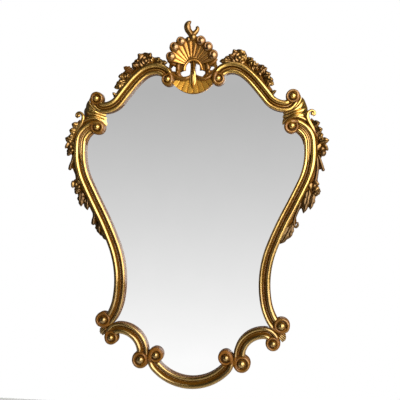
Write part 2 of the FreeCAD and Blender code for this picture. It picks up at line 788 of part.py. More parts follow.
rose, small_flower, spray_leaves = make_spray()
acanthus, upper_flower, lower_flower, pods, garland_leaves = make_garland()


# Joinery: a dowel across each joint, in holes of its own size

def dowel(start, end, length, radius):
    heading = facing(start, end)
    middle = ((start[0] + end[0]) / 2, (start[1] + end[1]) / 2)
    foot = spot(move(middle, heading, -length / 2), dowel_depth)
    return Part.makeCylinder(radius, length, foot, FreeCAD.Vector(math.cos(heading), 0, math.sin(heading)))


def in_rail(name, shares):
    return paths[name].beside(shares[0], shares[1] * half_rail)


crest_dowel_start = in_rail("top", crest_dowel_shares)
dowel_ends = (
    (in_rail("top", shoulder_dowel_shares[0]), in_rail("side", shoulder_dowel_shares[1]),
     shoulder_dowel_length),
    (in_rail("side", knee_dowel_shares[0]), in_rail("lower", knee_dowel_shares[1]), knee_dowel_length),
    (in_rail("apron", toe_dowel_shares[0]), in_rail("lower", toe_dowel_shares[1]), toe_dowel_length),
    (crest_dowel_start, (crest_half_width / 2, crest_dowel_start[1]), crest_dowel_length),
)
holes = [dowel(start, end, length + 2 * dowel_play, dowel_radius + dowel_play)
         for start, end, length in dowel_ends]
dowels = [dowel(start, end, length, dowel_radius) for start, end, length in dowel_ends]
both_holes = holes + [hole.mirror(*mirror_plane) for hole in holes]
frame_dowels = Part.Compound(dowels + [one.mirror(*mirror_plane) for one in dowels])


# Back hardware of the right side

def back_spot(point, stand):
    # A point of the back view, standing proud of the frame's back
    return spot(point, -stand)


backward = FreeCAD.Vector(0, 1, 0)


def screw(point, seat):
    shank = Part.makeCylinder(screw_shank_radius, screw_length, back_spot(point, seat), forward)
    head = Part.makeCylinder(screw_head_radius, screw_head_height, back_spot(point, seat), backward)
    return joined([shank, head])


def screw_hole(point):
    return Part.makeCylinder(screw_shank_radius, screw_length + overrun, back_spot(point, overrun), forward)


def turn_button(name, share):
    # A plate on one screw, with its tip over the backing board
    pivot = paths[name].beside(share, pocket_edge - button_inset)
    heading = paths[name].at(share)[1] + math.pi / 2
    reach = button_inset + button_reach - button_width / 2
    half = button_width / 2
    corners = [move(pivot, heading, along, across)
               for along, across in ((0, -half), (reach, -half), (reach, half), (0, half))]
    low = -button_play - button_thickness
    shape = joined([plate(corners, low, -button_play), disc(pivot, half, low, -button_play),
                    disc(move(pivot, heading, reach), half, low, -button_play)])
    hole = disc(pivot, screw_shank_radius + button_play, low - overrun, overrun)
    fixing = screw(pivot, button_thickness + 2 * button_play)
    return largest(shape.cut(hole)), fixing, screw_hole(pivot), pivot


def hanger():
    # A strap rolled round the bar of a ring that hangs from it
    side = paths["side"]
    ends = [side.share_at_height(-fall, hanger_stretch_shares) for fall in (0, strap_screw_drops[-1])]
    x = sum(side.beside(share, (pocket_edge - half_rail) / 2)[0] for share in ends) / len(ends)
    barrel_radius = ring_wire_radius + ring_play + strap_thickness
    stand = barrel_radius + barrel_lift
    half = strap_width / 2
    end_z = half - strap_length
    corners = [(x - half, 0), (x - half, end_z), (x + half, end_z), (x + half, 0)]
    barrel = Part.makeCylinder(barrel_radius, barrel_width, back_spot((x - barrel_width / 2, 0), stand),
                               FreeCAD.Vector(1, 0, 0))
    strap = joined([plate(corners, -strap_thickness, 0),
                    disc((x, end_z), half, -strap_thickness, 0), barrel])
    bore = Part.makeCylinder(ring_wire_radius + ring_play, strap_width + 2 * overrun,
                             back_spot((x - half - overrun, 0), stand), FreeCAD.Vector(1, 0, 0))
    strap = largest(strap.cut(bore))
    screws = []
    drills = []
    for fall in strap_screw_drops:
        screws.append(screw((x, -fall), strap_thickness))
        drills.append(screw_hole((x, -fall)))
        strap = largest(strap.cut(disc((x, -fall), screw_shank_radius, -strap_thickness - overrun, overrun)))
    return strap, ring(x, stand), screws, drills, (x, stand)


def ring(x, stand):
    half = barrel_width / 2 + ring_end_play + ring_corner
    diagonal = ring_corner * (1 - math.sqrt(0.5))

    def at(across, down):
        return back_spot((x + across, -down), stand)
    path = Part.Wire([
        line(at(0, 0), at(half - ring_corner, 0)),
        Part.Arc(at(half - ring_corner, 0), at(half - diagonal, diagonal), at(half, ring_corner)).toShape(),
        line(at(half, ring_corner), at(half, ring_leg)),
        Part.Arc(at(half, ring_leg), at(0, ring_leg + half), at(-half, ring_leg)).toShape(),
        line(at(-half, ring_leg), at(-half, ring_corner)),
        Part.Arc(at(-half, ring_corner), at(diagonal - half, diagonal), at(ring_corner - half, 0)).toShape(),
        line(at(ring_corner - half, 0), at(0, 0)),
    ])
    wire = Part.Wire(Part.makeCircle(ring_wire_radius, at(0, 0), FreeCAD.Vector(1, 0, 0)))
    sweep = Part.BRepOffsetAPI.MakePipeShell(path)
    sweep.setBiNormalMode(forward)
    sweep.add(wire)
    sweep.build()
    sweep.makeSolid()
    return sweep.shape()


def bumper(name, share):
    place = paths[name].beside(share, (pocket_edge - half_rail) / 2)
    return disc(place, bumper_radius, -bumper_height, 0), place


buttons = [turn_button(*place) for place in button_places_shares]
strap, hanger_ring, strap_screws, strap_drills, ring_pivot = hanger()
bumpers = [bumper(*place) for place in bumper_places_shares]
drills = strap_drills + [hole for button, fixing, hole, pivot in buttons]
for name in ("top", "side", "lower"):
    rails[name] = trimmed(rails[name], holes + drills)
rails["apron"] = trimmed(rails["apron"], both_holes)
crest_panel = trimmed(crest_panel, both_holes)
shoulder_collar = trimmed(shoulder_collar, holes)

# Nodes

def mirrored_group(shapes):
    return Part.Compound(list(shapes) + [shape.mirror(*mirror_plane) for shape in shapes])


nodes = {
    "mirror_glass": mirror_glass,
    "backing_board": backing_board,
    "apron_rail": rails["apron"],
    "crest_panel": crest_panel,
    "shell": shell,
    "shell_arch": shell_arch,
    "shell_skirt": shell_skirt,
    "central_drop": central_drop,
    "finial": finial,
    "finial_pin": finial_pin,
    "frame_dowels": frame_dowels,
    "wall_bumpers": mirrored_group([shape for shape, place in bumpers]),
    "button_screws": mirrored_group([fixing for button, fixing, hole, pivot in buttons]),
    "hanger_screws": mirrored_group(strap_screws),
}
paired = {
    "top_rail": rails["top"],
    "side_rail": rails["side"],
    "lower_scroll": rails["lower"],
    "shoulder_collar": shoulder_collar,
    "knee_leaf": knee_leaf,
    "c_scroll": c_scroll,
    "spray_stem": spray_stem,
    "rose": rose,
    "small_flower": small_flower,
    "spray_leaves": spray_leaves,
    "garland_stem": garland_stem,
    "acanthus": acanthus,
    "upper_flower": upper_flower,
    "lower_flower": lower_flower,
    "garland_pods": pods,
    "garland_leaves": garland_leaves,
    "hanger_strap": strap,
    "hanger_ring": hanger_ring,
    "top_turn_button": buttons[0][0],
    "middle_turn_button": buttons[1][0],
    "lower_turn_button": buttons[2][0],
}
for name, shape in paired.items():
    nodes[name + "_right"] = shape
    nodes[name + "_left"] = shape.mirror(*mirror_plane)

os.makedirs("parts", exist_ok=True)
for name, shape in nodes.items():
    shape.exportStep("parts/" + name + ".step")
print(len(nodes), "nodes")
print("ring pivot x", round(ring_pivot[0], 3), "y", round(ring_pivot[1] - bumper_height, 3))
for place, (button, fixing, hole, pivot) in zip(button_places_shares, buttons):
    print("button", place[0], "pivot", round(pivot[0], 3), round(pivot[1], 3))
for shape, place in bumpers:
    print("bumper", round(place[0], 3), round(place[1], 3))
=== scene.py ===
import json
from math import atan2, ceil, cos, exp, hypot, pi, radians, sin, sqrt

import bmesh
import bpy
import numpy as np
from mathutils import Matrix, Vector
from mathutils.bvhtree import BVHTree

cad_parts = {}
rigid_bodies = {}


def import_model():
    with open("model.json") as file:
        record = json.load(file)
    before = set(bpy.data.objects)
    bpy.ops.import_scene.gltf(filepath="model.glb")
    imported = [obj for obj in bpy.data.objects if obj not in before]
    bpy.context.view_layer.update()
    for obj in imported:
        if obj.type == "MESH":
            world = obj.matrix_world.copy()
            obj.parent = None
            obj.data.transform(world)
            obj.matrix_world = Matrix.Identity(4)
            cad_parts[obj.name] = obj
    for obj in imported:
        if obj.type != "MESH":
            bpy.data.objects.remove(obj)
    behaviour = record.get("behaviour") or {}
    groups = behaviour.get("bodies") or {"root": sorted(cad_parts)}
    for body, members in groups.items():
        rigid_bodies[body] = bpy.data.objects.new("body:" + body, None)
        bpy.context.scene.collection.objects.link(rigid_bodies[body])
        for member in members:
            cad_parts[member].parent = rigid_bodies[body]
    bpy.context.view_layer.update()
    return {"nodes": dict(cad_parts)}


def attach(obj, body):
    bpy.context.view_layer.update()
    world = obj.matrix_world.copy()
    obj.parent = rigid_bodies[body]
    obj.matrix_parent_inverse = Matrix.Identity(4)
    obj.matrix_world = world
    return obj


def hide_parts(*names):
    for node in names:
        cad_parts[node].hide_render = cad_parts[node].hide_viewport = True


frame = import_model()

mm = 0.001
glassMiddle = -115.25   # heights below are counted from the middle of the glass
wallGap = 8.0           # the bumpers hold the back of the frame this far off the wall
readDepth = 17.0        # places were judged as if they lay this far forward
cameraPlace = {"yaw": 7.85, "roll": 0.52, "distance": 1592.5, "aimX": 16.5, "lens": 58.5, "sensor": 36.0,
               "far": 50.0}

for spare in [o for o in bpy.data.objects if o.name in ("Cube", "Light", "Camera")]:
    bpy.data.objects.remove(spare)


def spot(x, z, depth):
    # a point of the front view in mm, its depth counted forward from the back of the frame
    return Vector((x * mm, -(wallGap + depth) * mm, (z + glassMiddle) * mm))


def seen(x, z, depth):
    # a place as judged, moved along the line of sight to its own depth
    yaw = radians(cameraPlace["yaw"])
    eyeX = cameraPlace["aimX"] + sin(yaw) * cameraPlace["distance"]
    eyeY = cos(yaw) * cameraPlace["distance"]
    part = (eyeY - wallGap - depth) / (eyeY - wallGap - readDepth)
    return spot(eyeX + (x - eyeX) * part, z * part, depth)


def sceneObject(name, data):
    obj = bpy.data.objects.new(name, data)
    bpy.context.scene.collection.objects.link(obj)
    return obj


def plainMesh(points, faces=(), edges=()):
    mesh = bpy.data.meshes.new("part")
    mesh.from_pydata([tuple(p) for p in points], list(edges), list(faces))
    return mesh


def asMesh(shape, name="part"):
    mesh = bpy.data.meshes.new(name)
    shape.to_mesh(mesh)
    shape.free()
    return mesh


# node helpers, for geometry and for shaders
def feed(node, values):
    # each value is a socket to link, or what the input is set to, colours without their alpha
    for key, value in values.items():
        if isinstance(value, bpy.types.NodeSocket):
            node.id_data.links.new(value, node.inputs[key])
        else:
            node.inputs[key].default_value = (*value, 1) if node.inputs[key].type == "RGBA" else value


def addNode(tree, kind, values=None, **settings):
    made = tree.nodes.new(kind)
    for key, value in settings.items():
        setattr(made, key, value)
    feed(made, values or {})
    return made


def firstOf(*given, **settings):
    # adds a node and hands on its first output
    return addNode(*given, **settings).outputs[0]


def nodeGroup(name, kind, inputs, outputs):
    # inputs and outputs give each socket's name and kind
    tree = bpy.data.node_groups.new(name, kind)
    for way, sockets in (("INPUT", inputs), ("OUTPUT", outputs)):
        for label, socket in sockets.items():
            tree.interface.new_socket(label, in_out=way, socket_type="NodeSocket" + socket)
    return tree, addNode(tree, "NodeGroupInput").outputs, addNode(tree, "NodeGroupOutput")


def geometryTree(name, label, kind):
    inputs = {"Geometry": "Geometry", label: kind}
    return nodeGroup(name, "GeometryNodeTree", inputs, {"Geometry": "Geometry"})


def swept(out, line, profile, **more):
    tree = out.id_data
    sockets = {"Curve": line, "Profile Curve": profile, "Fill Caps": True, **more}
    feed(out, {0: firstOf(tree, "GeometryNodeCurveToMesh", sockets)})
    return tree


def mouldingTree():
    # sweeps a closed profile along a rail's centre line, its front kept forward
    tree, given, out = geometryTree("railMoulding", "Profile", "Object")
    centre = firstOf(tree, "GeometryNodeMeshToCurve", {0: given["Geometry"]})
    facing = firstOf(tree, "GeometryNodeSetCurveNormal", {"Curve": centre, "Normal": (0, -1, 0)}, mode="FREE")
    shape = addNode(tree, "GeometryNodeObjectInfo", {"Object": given["Profile"]})
    edge = firstOf(tree, "GeometryNodeMeshToCurve", {0: shape.outputs["Geometry"]})
    return swept(out, facing, edge)


def beadTree():
    # a round bead along each line, as thick as its girth attribute says
    tree, given, out = geometryTree("carvedBead", "Sides", "Int")
    centre = firstOf(tree, "GeometryNodeMeshToCurve", {0: given["Geometry"]})
    girth = firstOf(tree, "GeometryNodeInputNamedAttribute", {"Name": "girth"}, data_type="FLOAT")
    circle = firstOf(tree, "GeometryNodeCurvePrimitiveCircle", {"Resolution": given["Sides"], "Radius": 1.0})
    return swept(out, centre, circle, Scale=girth)


def copyTree():
    # sets one carved unit on every point, turned and sized by the point's attributes
    tree, given, out = geometryTree("carvedCopies", "Unit", "Object")
    unit = addNode(tree, "GeometryNodeObjectInfo", {"Object": given["Unit"]})
    turn, size = [firstOf(tree, "GeometryNodeInputNamedAttribute", {"Name": name}, data_type="FLOAT_VECTOR")
                  for name in ("turn", "size")]
    rotation = firstOf(tree, "FunctionNodeEulerToRotation", {0: turn})
    placed = firstOf(tree, "GeometryNodeInstanceOnPoints",
                     {"Points": given["Geometry"], "Instance": unit.outputs["Geometry"],
                      "Rotation": rotation, "Scale": size})
    feed(out, {0: firstOf(tree, "GeometryNodeRealizeInstances", {0: placed})})
    return tree


railMoulding, carvedBead, carvedCopies = mouldingTree(), beadTree(), copyTree()


def grown(tree, base, **values):
    # runs a node tree on a base mesh and keeps the result as a plain mesh
    obj = sceneObject("base", base)
    modifier = obj.modifiers.new(tree.name, "NODES")
    modifier.node_group = tree
    for item in tree.interface.items_tree:
        if item.in_out == "INPUT" and item.name in values:
            modifier[item.identifier] = values[item.name]
    view = bpy.context.evaluated_depsgraph_get()
    made = bpy.data.meshes.new_from_object(obj.evaluated_get(view))
    bpy.data.objects.remove(obj)
    return made


def attribute(mesh, name, kind, values):
    layer = mesh.attributes.new(name, kind, "POINT")
    layer.data.foreach_set("vector" if kind == "FLOAT_VECTOR" else "value", np.ravel(values))


def beads(lines, sides=12):
    # lines are lists of (point, radius in mm)
    points, edges, girths = [], [], []
    for line in lines:
        edges += [(len(points) + i, len(points) + i + 1) for i in range(len(line) - 1)]
        points += [p for p, radius in line]
        girths += [radius * mm for p, radius in line]
    base = plainMesh(points, edges=edges)
    attribute(base, "girth", "FLOAT", girths)
    return grown(carvedBead, base, Sides=sides)


def copies(unit, rows):
    # rows are (place, basis, size in mm)
    base = plainMesh([row[0] for row in rows])
    attribute(base, "turn", "FLOAT_VECTOR", [tuple(row[1].to_euler()) for row in rows])
    attribute(base, "size", "FLOAT_VECTOR", [[s * mm for s in row[2]] for row in rows])
    return grown(carvedCopies, base, Unit=unit)


def aimed(root, tip, roll):
    # x runs from root to tip and z looks forward
    along = (tip - root).normalized()
    front = Vector((0, -1, 0))
    front = (front - along * front.dot(along)).normalized()
    basis = Matrix((along, front.cross(along), front)).transposed()
    return basis @ Matrix.Rotation(radians(roll), 3, "X")


# shader helpers: each adds its node to the tree that its sockets belong to
def sums(operation, first, second):
    tree = (first if isinstance(first, bpy.types.NodeSocket) else second).id_data
    return firstOf(tree, "ShaderNodeMath", {0: first, 1: second}, operation=operation)


def plus(first, second):
    return sums("ADD", first, second)


def less(first, second):
    return sums("SUBTRACT", first, second)


def times(first, second):
    return sums("MULTIPLY", first, second)


def sway(field, amount):
    # a noise field that swings about nought
    return times(less(field, 0.5), amount)


def span(value, low, high, toLow=0.0, toHigh=1.0, kind="SMOOTHSTEP"):
    return firstOf(value.id_data, "ShaderNodeMapRange", {0: value, 1: low, 2: high, 3: toLow, 4: toHigh},
                   interpolation_type=kind)


def blend(part, first, second):
    colours = {0: part, 6: first, 7: second}
    return addNode(part.id_data, "ShaderNodeMix", colours, data_type="RGBA").outputs[2]


def noise(place, scale, detail=3.0, rough=0.55):
    return firstOf(place.id_data, "ShaderNodeTexNoise",
                   {"Vector": place, "Scale": scale, "Detail": detail, "Roughness": rough})


def bump(height, strength, distance):
    return firstOf(height.id_data, "ShaderNodeBump",
                   {"Strength": strength, "Distance": distance, "Height": height})


def freshMaterial(name):
    material = bpy.data.materials.new(name)
    material.use_nodes = True
    tree = material.node_tree
    tree.nodes.clear()
    surface = addNode(tree, "ShaderNodeBsdfPrincipled")
    addNode(tree, "ShaderNodeOutputMaterial", {0: surface.outputs[0]})
    return material, surface, addNode(tree, "ShaderNodeTexCoord").outputs["Object"]


giltTones = {"boleRed": (0.105, 0.034, 0.0015), "boleBrown": (0.075, 0.033, 0.001),
             "dirtAndShade": (0.018, 0.007, 0.002), "rubbed": (0.16, 0.05, 0.016), "dull": (0.02, 0.013, 0.004),
             "backDark": (0.09, 0.047, 0.02), "backPale": (0.155, 0.087, 0.038)}


def giltGroup():
    # leaf over red bole over gesso: bright on the crests, rubbed, and umber in the hollows; the darkening of
    # hollows and sides read from the relief mask is partly patina and partly painted shade
    tree, given, out = nodeGroup("giltLayers", "ShaderNodeTree",
                                 {"Place": "Vector", "Relief": "Float", "Gold": "Color", "Deep": "Color",
                                  "Age": "Float", "Gloss": "Float"},
                                 {"Color": "Color", "Metal": "Float", "Rough": "Float", "Height": "Float"})
    tones = giltTones
    cloud = noise(given["Place"], 24.0)
    fleck = noise(given["Place"], 130.0, 4.0, 0.6)
    grain = noise(given["Place"], 700.0, 2.0)
    parts = addNode(tree, "ShaderNodeSeparateXYZ", {0: given["Place"]}).outputs
    bareAndLit = less(plus(given["Relief"], sway(fleck, 0.05)), given["Age"])
    rich = span(plus(times(cloud, 0.8), times(fleck, 0.2)), 0.36, 0.64)
    gold = blend(rich, given["Deep"], given["Gold"])
    gold = blend(span(parts[2], -0.4, 0.08, 0.55, 0.0), gold, tones["dull"])   # painted shade: darker towards the foot
    colour = blend(span(bareAndLit, 0.62, 0.86), blend(cloud, tones["boleRed"], tones["boleBrown"]), gold)
    # painted shade with dirt: where the relief mask is lowest the gilding goes near black
    colour = blend(span(bareAndLit, 0.1, 0.45), tones["dirtAndShade"], colour)
    colour = blend(times(span(fleck, 0.64, 0.74), 0.12), colour, tones["rubbed"])
    wash = span(plus(parts[1], sway(cloud, 0.006)), -0.0125, -0.0093)   # the back is bare, stained wood
    colour = blend(wash, colour, blend(fleck, tones["backDark"], tones["backPale"]))
    metal = times(span(bareAndLit, 0.5, 0.84, 0.15, 0.96), less(1.0, wash))
    rough = plus(plus(span(bareAndLit, 0.3, 0.85, 0.55, 0.0), given["Gloss"]), sway(grain, 0.06))
    feed(out, {"Color": colour, "Metal": metal, "Rough": plus(rough, times(wash, 0.3)),
               "Height": plus(times(fleck, 0.7), times(grain, 0.3))})
    return tree


giltLayers = giltGroup()
giltShades = {   # gold, deep gold, age and painted shade, gloss, bump, coat, and how far off a neighbour darkens a point with dirt and painted shade (mm)
    "rail": ((0.41, 0.245, 0.045), (0.27, 0.145, 0.02), 0.0, 0.22, 0.02, 0.75, 16.0),
    "shell": ((0.37, 0.18, 0.037), (0.24, 0.105, 0.022), 0.03, 0.36, 0.04, 0.2, 9.0),
    # painted shade: the lobes are a darker, shaded copy of the shell's gilding
    "lobe": ((0.17, 0.085, 0.02), (0.105, 0.05, 0.012), 0.06, 0.24, 0.04, 0.6, 9.0),
    "skirt": ((0.43, 0.225, 0.035), (0.33, 0.16, 0.022), -0.06, 0.38, 0.04, 0.1, 7.0),
    "leaf": ((0.18, 0.1, 0.021), (0.105, 0.052, 0.012), -0.1, 0.3, 0.04, 0.3, 8.0),
    "dusk": ((0.09, 0.05, 0.016), (0.055, 0.028, 0.009), -0.1, 0.4, 0.04, 0.15, 8.0),
    "ground": ((0.09, 0.045, 0.018), (0.05, 0.025, 0.011), 0.2, 0.4, 0.05, 0.2, 8.0),   # behind the leaves, given the darkest tone as painted shade
}
varnish = {"Coat Roughness": 0.16, "Specular IOR Level": 0.1}
leafGrain = 0.0008   # the height of the bumps in metres


def giltMaterial(name, gold, deep, ageAndShade, gloss, lift, coat):
    material, surface, place = freshMaterial(name + "Gilt")
    tree = material.node_tree
    relief = addNode(tree, "ShaderNodeAttribute", attribute_name="relief").outputs["Fac"]
    layers = addNode(tree, "ShaderNodeGroup", node_tree=giltLayers)
    feed(layers, {"Place": place, "Relief": relief, "Gold": gold, "Deep": deep, "Age": ageAndShade, "Gloss": gloss})
    made = layers.outputs
    feed(surface, varnish)
    feed(surface, {"Base Color": made["Color"], "Metallic": made["Metal"], "Roughness": made["Rough"],
                   "Coat Weight": times(made["Metal"], coat),   # thickest where the leaf is bright
                   "Normal": bump(made["Height"], lift, leafGrain)})
    return material


gilt = {name: giltMaterial(name, *shade[:-1]) for name, shade in giltShades.items()}
print("gilt materials ready")

giltPieces = []   # each carving with its gilding
sharpAngle = 48


def carved(name, meshes, gilding, node=None):
    # joins the parts of one carving, and lets it stand for its solid
    joined = bmesh.new()
    for mesh in meshes:
        joined.from_mesh(mesh)
    bmesh.ops.remove_doubles(joined, verts=joined.verts, dist=1e-6)
    bmesh.ops.dissolve_degenerate(joined, dist=1e-6, edges=joined.edges)
    bmesh.ops.recalc_face_normals(joined, faces=joined.faces)
    for face in joined.faces:
        face.smooth = True
    mesh = asMesh(joined, name)
    mesh.set_sharp_from_angle(angle=radians(sharpAngle))
    mesh.materials.append(gilt[gilding])
    obj = sceneObject(name, mesh)
    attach(obj, "frame")
    if node:
        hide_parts(node)
    giltPieces.append((obj, gilding))


def flipped(mesh):
    # the other side's copy of a piece
    made = mesh.copy()
    made.transform(Matrix.Diagonal((-1, 1, 1, 1)))
    made.flip_normals()
    return made


def carvedPair(name, node, meshes, gilding):
    carved(name + "Right", meshes, gilding, node + "_right")
    carved(name + "Left", [flipped(m) for m in meshes], gilding, node + "_left")


# rails: the shares of each run are across and up the frame, with the heading in degrees
railShape = {"width": 27.5, "depth": 26.0, "outerBead": 6.0, "innerBead": 4.5, "innerDrop": 3.0,
             "roll": 20.0, "coveFloor": 13.5, "rebate": 9.0, "rebateLap": 7.0, "step": 1.5, "sunk": 16.0,
             "sunkGap": 0.5, "lip": 3.0, "shoulder": 10.0, "innerSteps": 12, "coveSteps": 9, "outerSteps": 14}
railRuns = {
    "halfSpan": 281.25, "foot": -442.0, "rise": 760.5, "crestX": 60.5, "kneeShare": 0.711, "toeGap": 26.0,
    "apron": ((0.0, 0.0, 0), (0.299, 0.0473, 46), (0.317, 0.0868, 118)),
    "lower": ((0.0, 0.0671, 92), (0.0, 0.0907, 90), (0.727, 0.167, 0), (1.0, 0.1348, -90)),
    "side": ((0.7716, 0.1847, 175), (0.6844, 0.213, 117), (0.6276, 0.3182, 90), (0.8213, 0.5457, 62.5),
             (1.0, 0.7324, 90), (0.9636, 0.7955, 127), (0.8427, 0.8179, 187)),
    "top": ((0.8199, 0.9066, -90), (0.7271, 0.8764, 180), (0.41, 0.952, 130), (0.1427, 1.0, 180),
            (0.0, 0.9652, 270)),
}


def smoothRun(shares, start, end):
    # two tangent arcs between each pair of nodes, sampled as (x, z, heading)
    nodes = [(start + x * (end - start), railRuns["foot"] + z * railRuns["rise"], radians(h))
             for x, z, h in shares]
    points = []

    def arc(start, heading, end):
        chord = hypot(end[0] - start[0], end[1] - start[1])
        turn = 2 * ((atan2(end[1] - start[1], end[0] - start[0]) - heading + pi) % (2 * pi) - pi)
        bend = 2 * sin(turn / 2) / chord
        count = max(2, ceil(turn / bend / railShape["step"]))
        for i in range(count):
            later = heading + turn * i / count
            points.append((start[0] + (sin(later) - sin(heading)) / bend,
                           start[1] + (cos(heading) - cos(later)) / bend, later))
        return heading + turn

    heading = nodes[0][2]
    for (x0, z0, h0), (x1, z1, h1) in zip(nodes, nodes[1:]):
        ahead = (x1 - x0) * (cos(h0) + cos(h1)) + (z1 - z0) * (sin(h0) + sin(h1))
        turn = 2 * (1 - cos(h1 - h0))
        arm = (sqrt(ahead ** 2 + turn * ((x1 - x0) ** 2 + (z1 - z0) ** 2)) - ahead) / turn
        middle = ((x0 + x1 + arm * (cos(h0) - cos(h1))) / 2, (z0 + z1 + arm * (sin(h0) - sin(h1))) / 2)
        heading = arc(middle, arc((x0, z0), heading, middle), (x1, z1))
    points.append((nodes[-1][0], nodes[-1][1], heading))
    gone = [0.0]
    for a, b in zip(points, points[1:]):
        gone.append(gone[-1] + hypot(b[0] - a[0], b[1] - a[1]))
    return {"points": points, "gone": gone}


def onRun(run, share, left):
    # a place at a share of the run's length, moved to its left
    goal = share * run["gone"][-1]
    i = next((k for k, d in enumerate(run["gone"]) if k and d >= goal), len(run["gone"]) - 1)
    part = (goal - run["gone"][i - 1]) / (run["gone"][i] - run["gone"][i - 1])
    x, z, heading = [a + (b - a) * part for a, b in zip(run["points"][i - 1], run["points"][i])]
    return x - left * sin(heading), z + left * cos(heading)


halfRail = railShape["width"] / 2
halfSpan = railRuns["halfSpan"]
toeX = max(p[0] for p in smoothRun(railRuns["apron"], 0.0, halfSpan)["points"]) + railRuns["toeGap"]
wholeApron = tuple((-x, z, -h) for x, z, h in reversed(railRuns["apron"][1:])) + railRuns["apron"]
runs = {
    "apron": smoothRun(wholeApron, 0.0, halfSpan),
    "lower": smoothRun(railRuns["lower"], toeX, railRuns["kneeShare"] * halfSpan),
    "side": smoothRun(railRuns["side"], 0.0, halfSpan),
    "top": smoothRun(railRuns["top"], railRuns["crestX"], halfSpan),
}


def alongRun(name, low, high, left, depth, count, girth, sign=1):
    # a bead line at a steady distance from a rail's centre line
    rows = []
    for i in range(count + 1):
        part = i / count
        x, z = onRun(runs[name], low + (high - low) * part, left)
        rows.append((spot(sign * x, z, depth), girth(part)))
    return rows


def railProfile():
    # bead, cove and bead with the rebate behind: (left, depth) round the moulding
    r = railShape

    def arc(bead, left, depth, low, high, steps):
        angles = [radians(low + (high - low) * i / steps) for i in range(steps + 1)]
        return [(left + bead * cos(a), depth + bead * sin(a)) for a in angles]

    innerBead, outerBead = r["innerBead"], r["outerBead"]
    innerDepth = r["depth"] - r["innerDrop"] - innerBead
    inner = arc(innerBead, halfRail - innerBead, innerDepth, 0, 180 + r["roll"], r["innerSteps"])
    outer = arc(outerBead, outerBead - halfRail, r["depth"] - outerBead, -r["roll"], 180, r["outerSteps"])
    first, last = inner[-1], outer[0]
    cove = []
    for i in range(1, r["coveSteps"]):
        part = i / r["coveSteps"]
        sag = 4 * part * (1 - part) * ((first[1] + last[1]) / 2 - r["coveFloor"])
        cove.append((first[0] + (last[0] - first[0]) * part, first[1] + (last[1] - first[1]) * part - sag))
    lap = halfRail - r["rebateLap"]
    return ([(halfRail, r["rebate"]), (halfRail, innerDepth - r["lip"])] + inner + cove + outer
            + [(-halfRail, r["shoulder"]), (-halfRail, 0), (lap, 0), (lap, r["rebate"])])


profile = railProfile()
profileMesh = plainMesh([(d * mm, -a * mm, 0) for a, d in profile],
                        edges=[(i, (i + 1) % len(profile)) for i in range(len(profile))])
profileObject = sceneObject("railProfile", profileMesh)

# volutes: each rail end curls round a ball
voluteShape = {"overhang": 1.0, "grow": 1.0, "back": 0.5, "floor": 17.0, "eyeShare": 0.45, "eyeFoot": 3.5,
               "eyeTop": 29.0, "rimInset": 0.3, "turns": 1.2, "lead": 24.0, "leadSteps": 12,
               "coilDepth": 20.5, "coilSteps": 64, "coilThick": 0.17, "coilThin": 0.4, "coilIn": 0.36,
               "thickBy": 0.35, "deepBy": 0.3, "joinBy": 0.12, "around": 44}
voluteEnds = {   # rail: (at its end, side it curls to, radius)
    "apron": ((True, 1, 18.5), (False, 1, 18.5)),
    "lower": ((False, -1, 20.5), (True, -1, 17.0)),
    "side": ((False, -1, 19.5), (True, 1, 17.5)),
    "top": ((False, -1, 16.5), (True, 1, 15.5)),
}


def turnedMesh(x, z, outline, around):
    # a body turned about a line that looks forward, from (radius, depth) rings
    points, faces = [], []
    for radius, depth in outline:
        points += [spot(x + radius * cos(2 * pi * k / around), z + radius * sin(2 * pi * k / around), depth)
                   for k in range(around)]
    for ring in range(len(outline) - 1):
        for k in range(around):
            a, b = ring * around + k, ring * around + (k + 1) % around
            faces.append((a, b, b + around, a + around))
    faces.append(tuple(reversed(range(around))))
    faces.append(tuple(range((len(outline) - 1) * around, len(outline) * around)))
    return plainMesh(points, faces)


def voluteCentre(run, atEnd, side, radius):
    return onRun(run, 1.0 if atEnd else 0.0, side * (radius - halfRail - voluteShape["overhang"]))


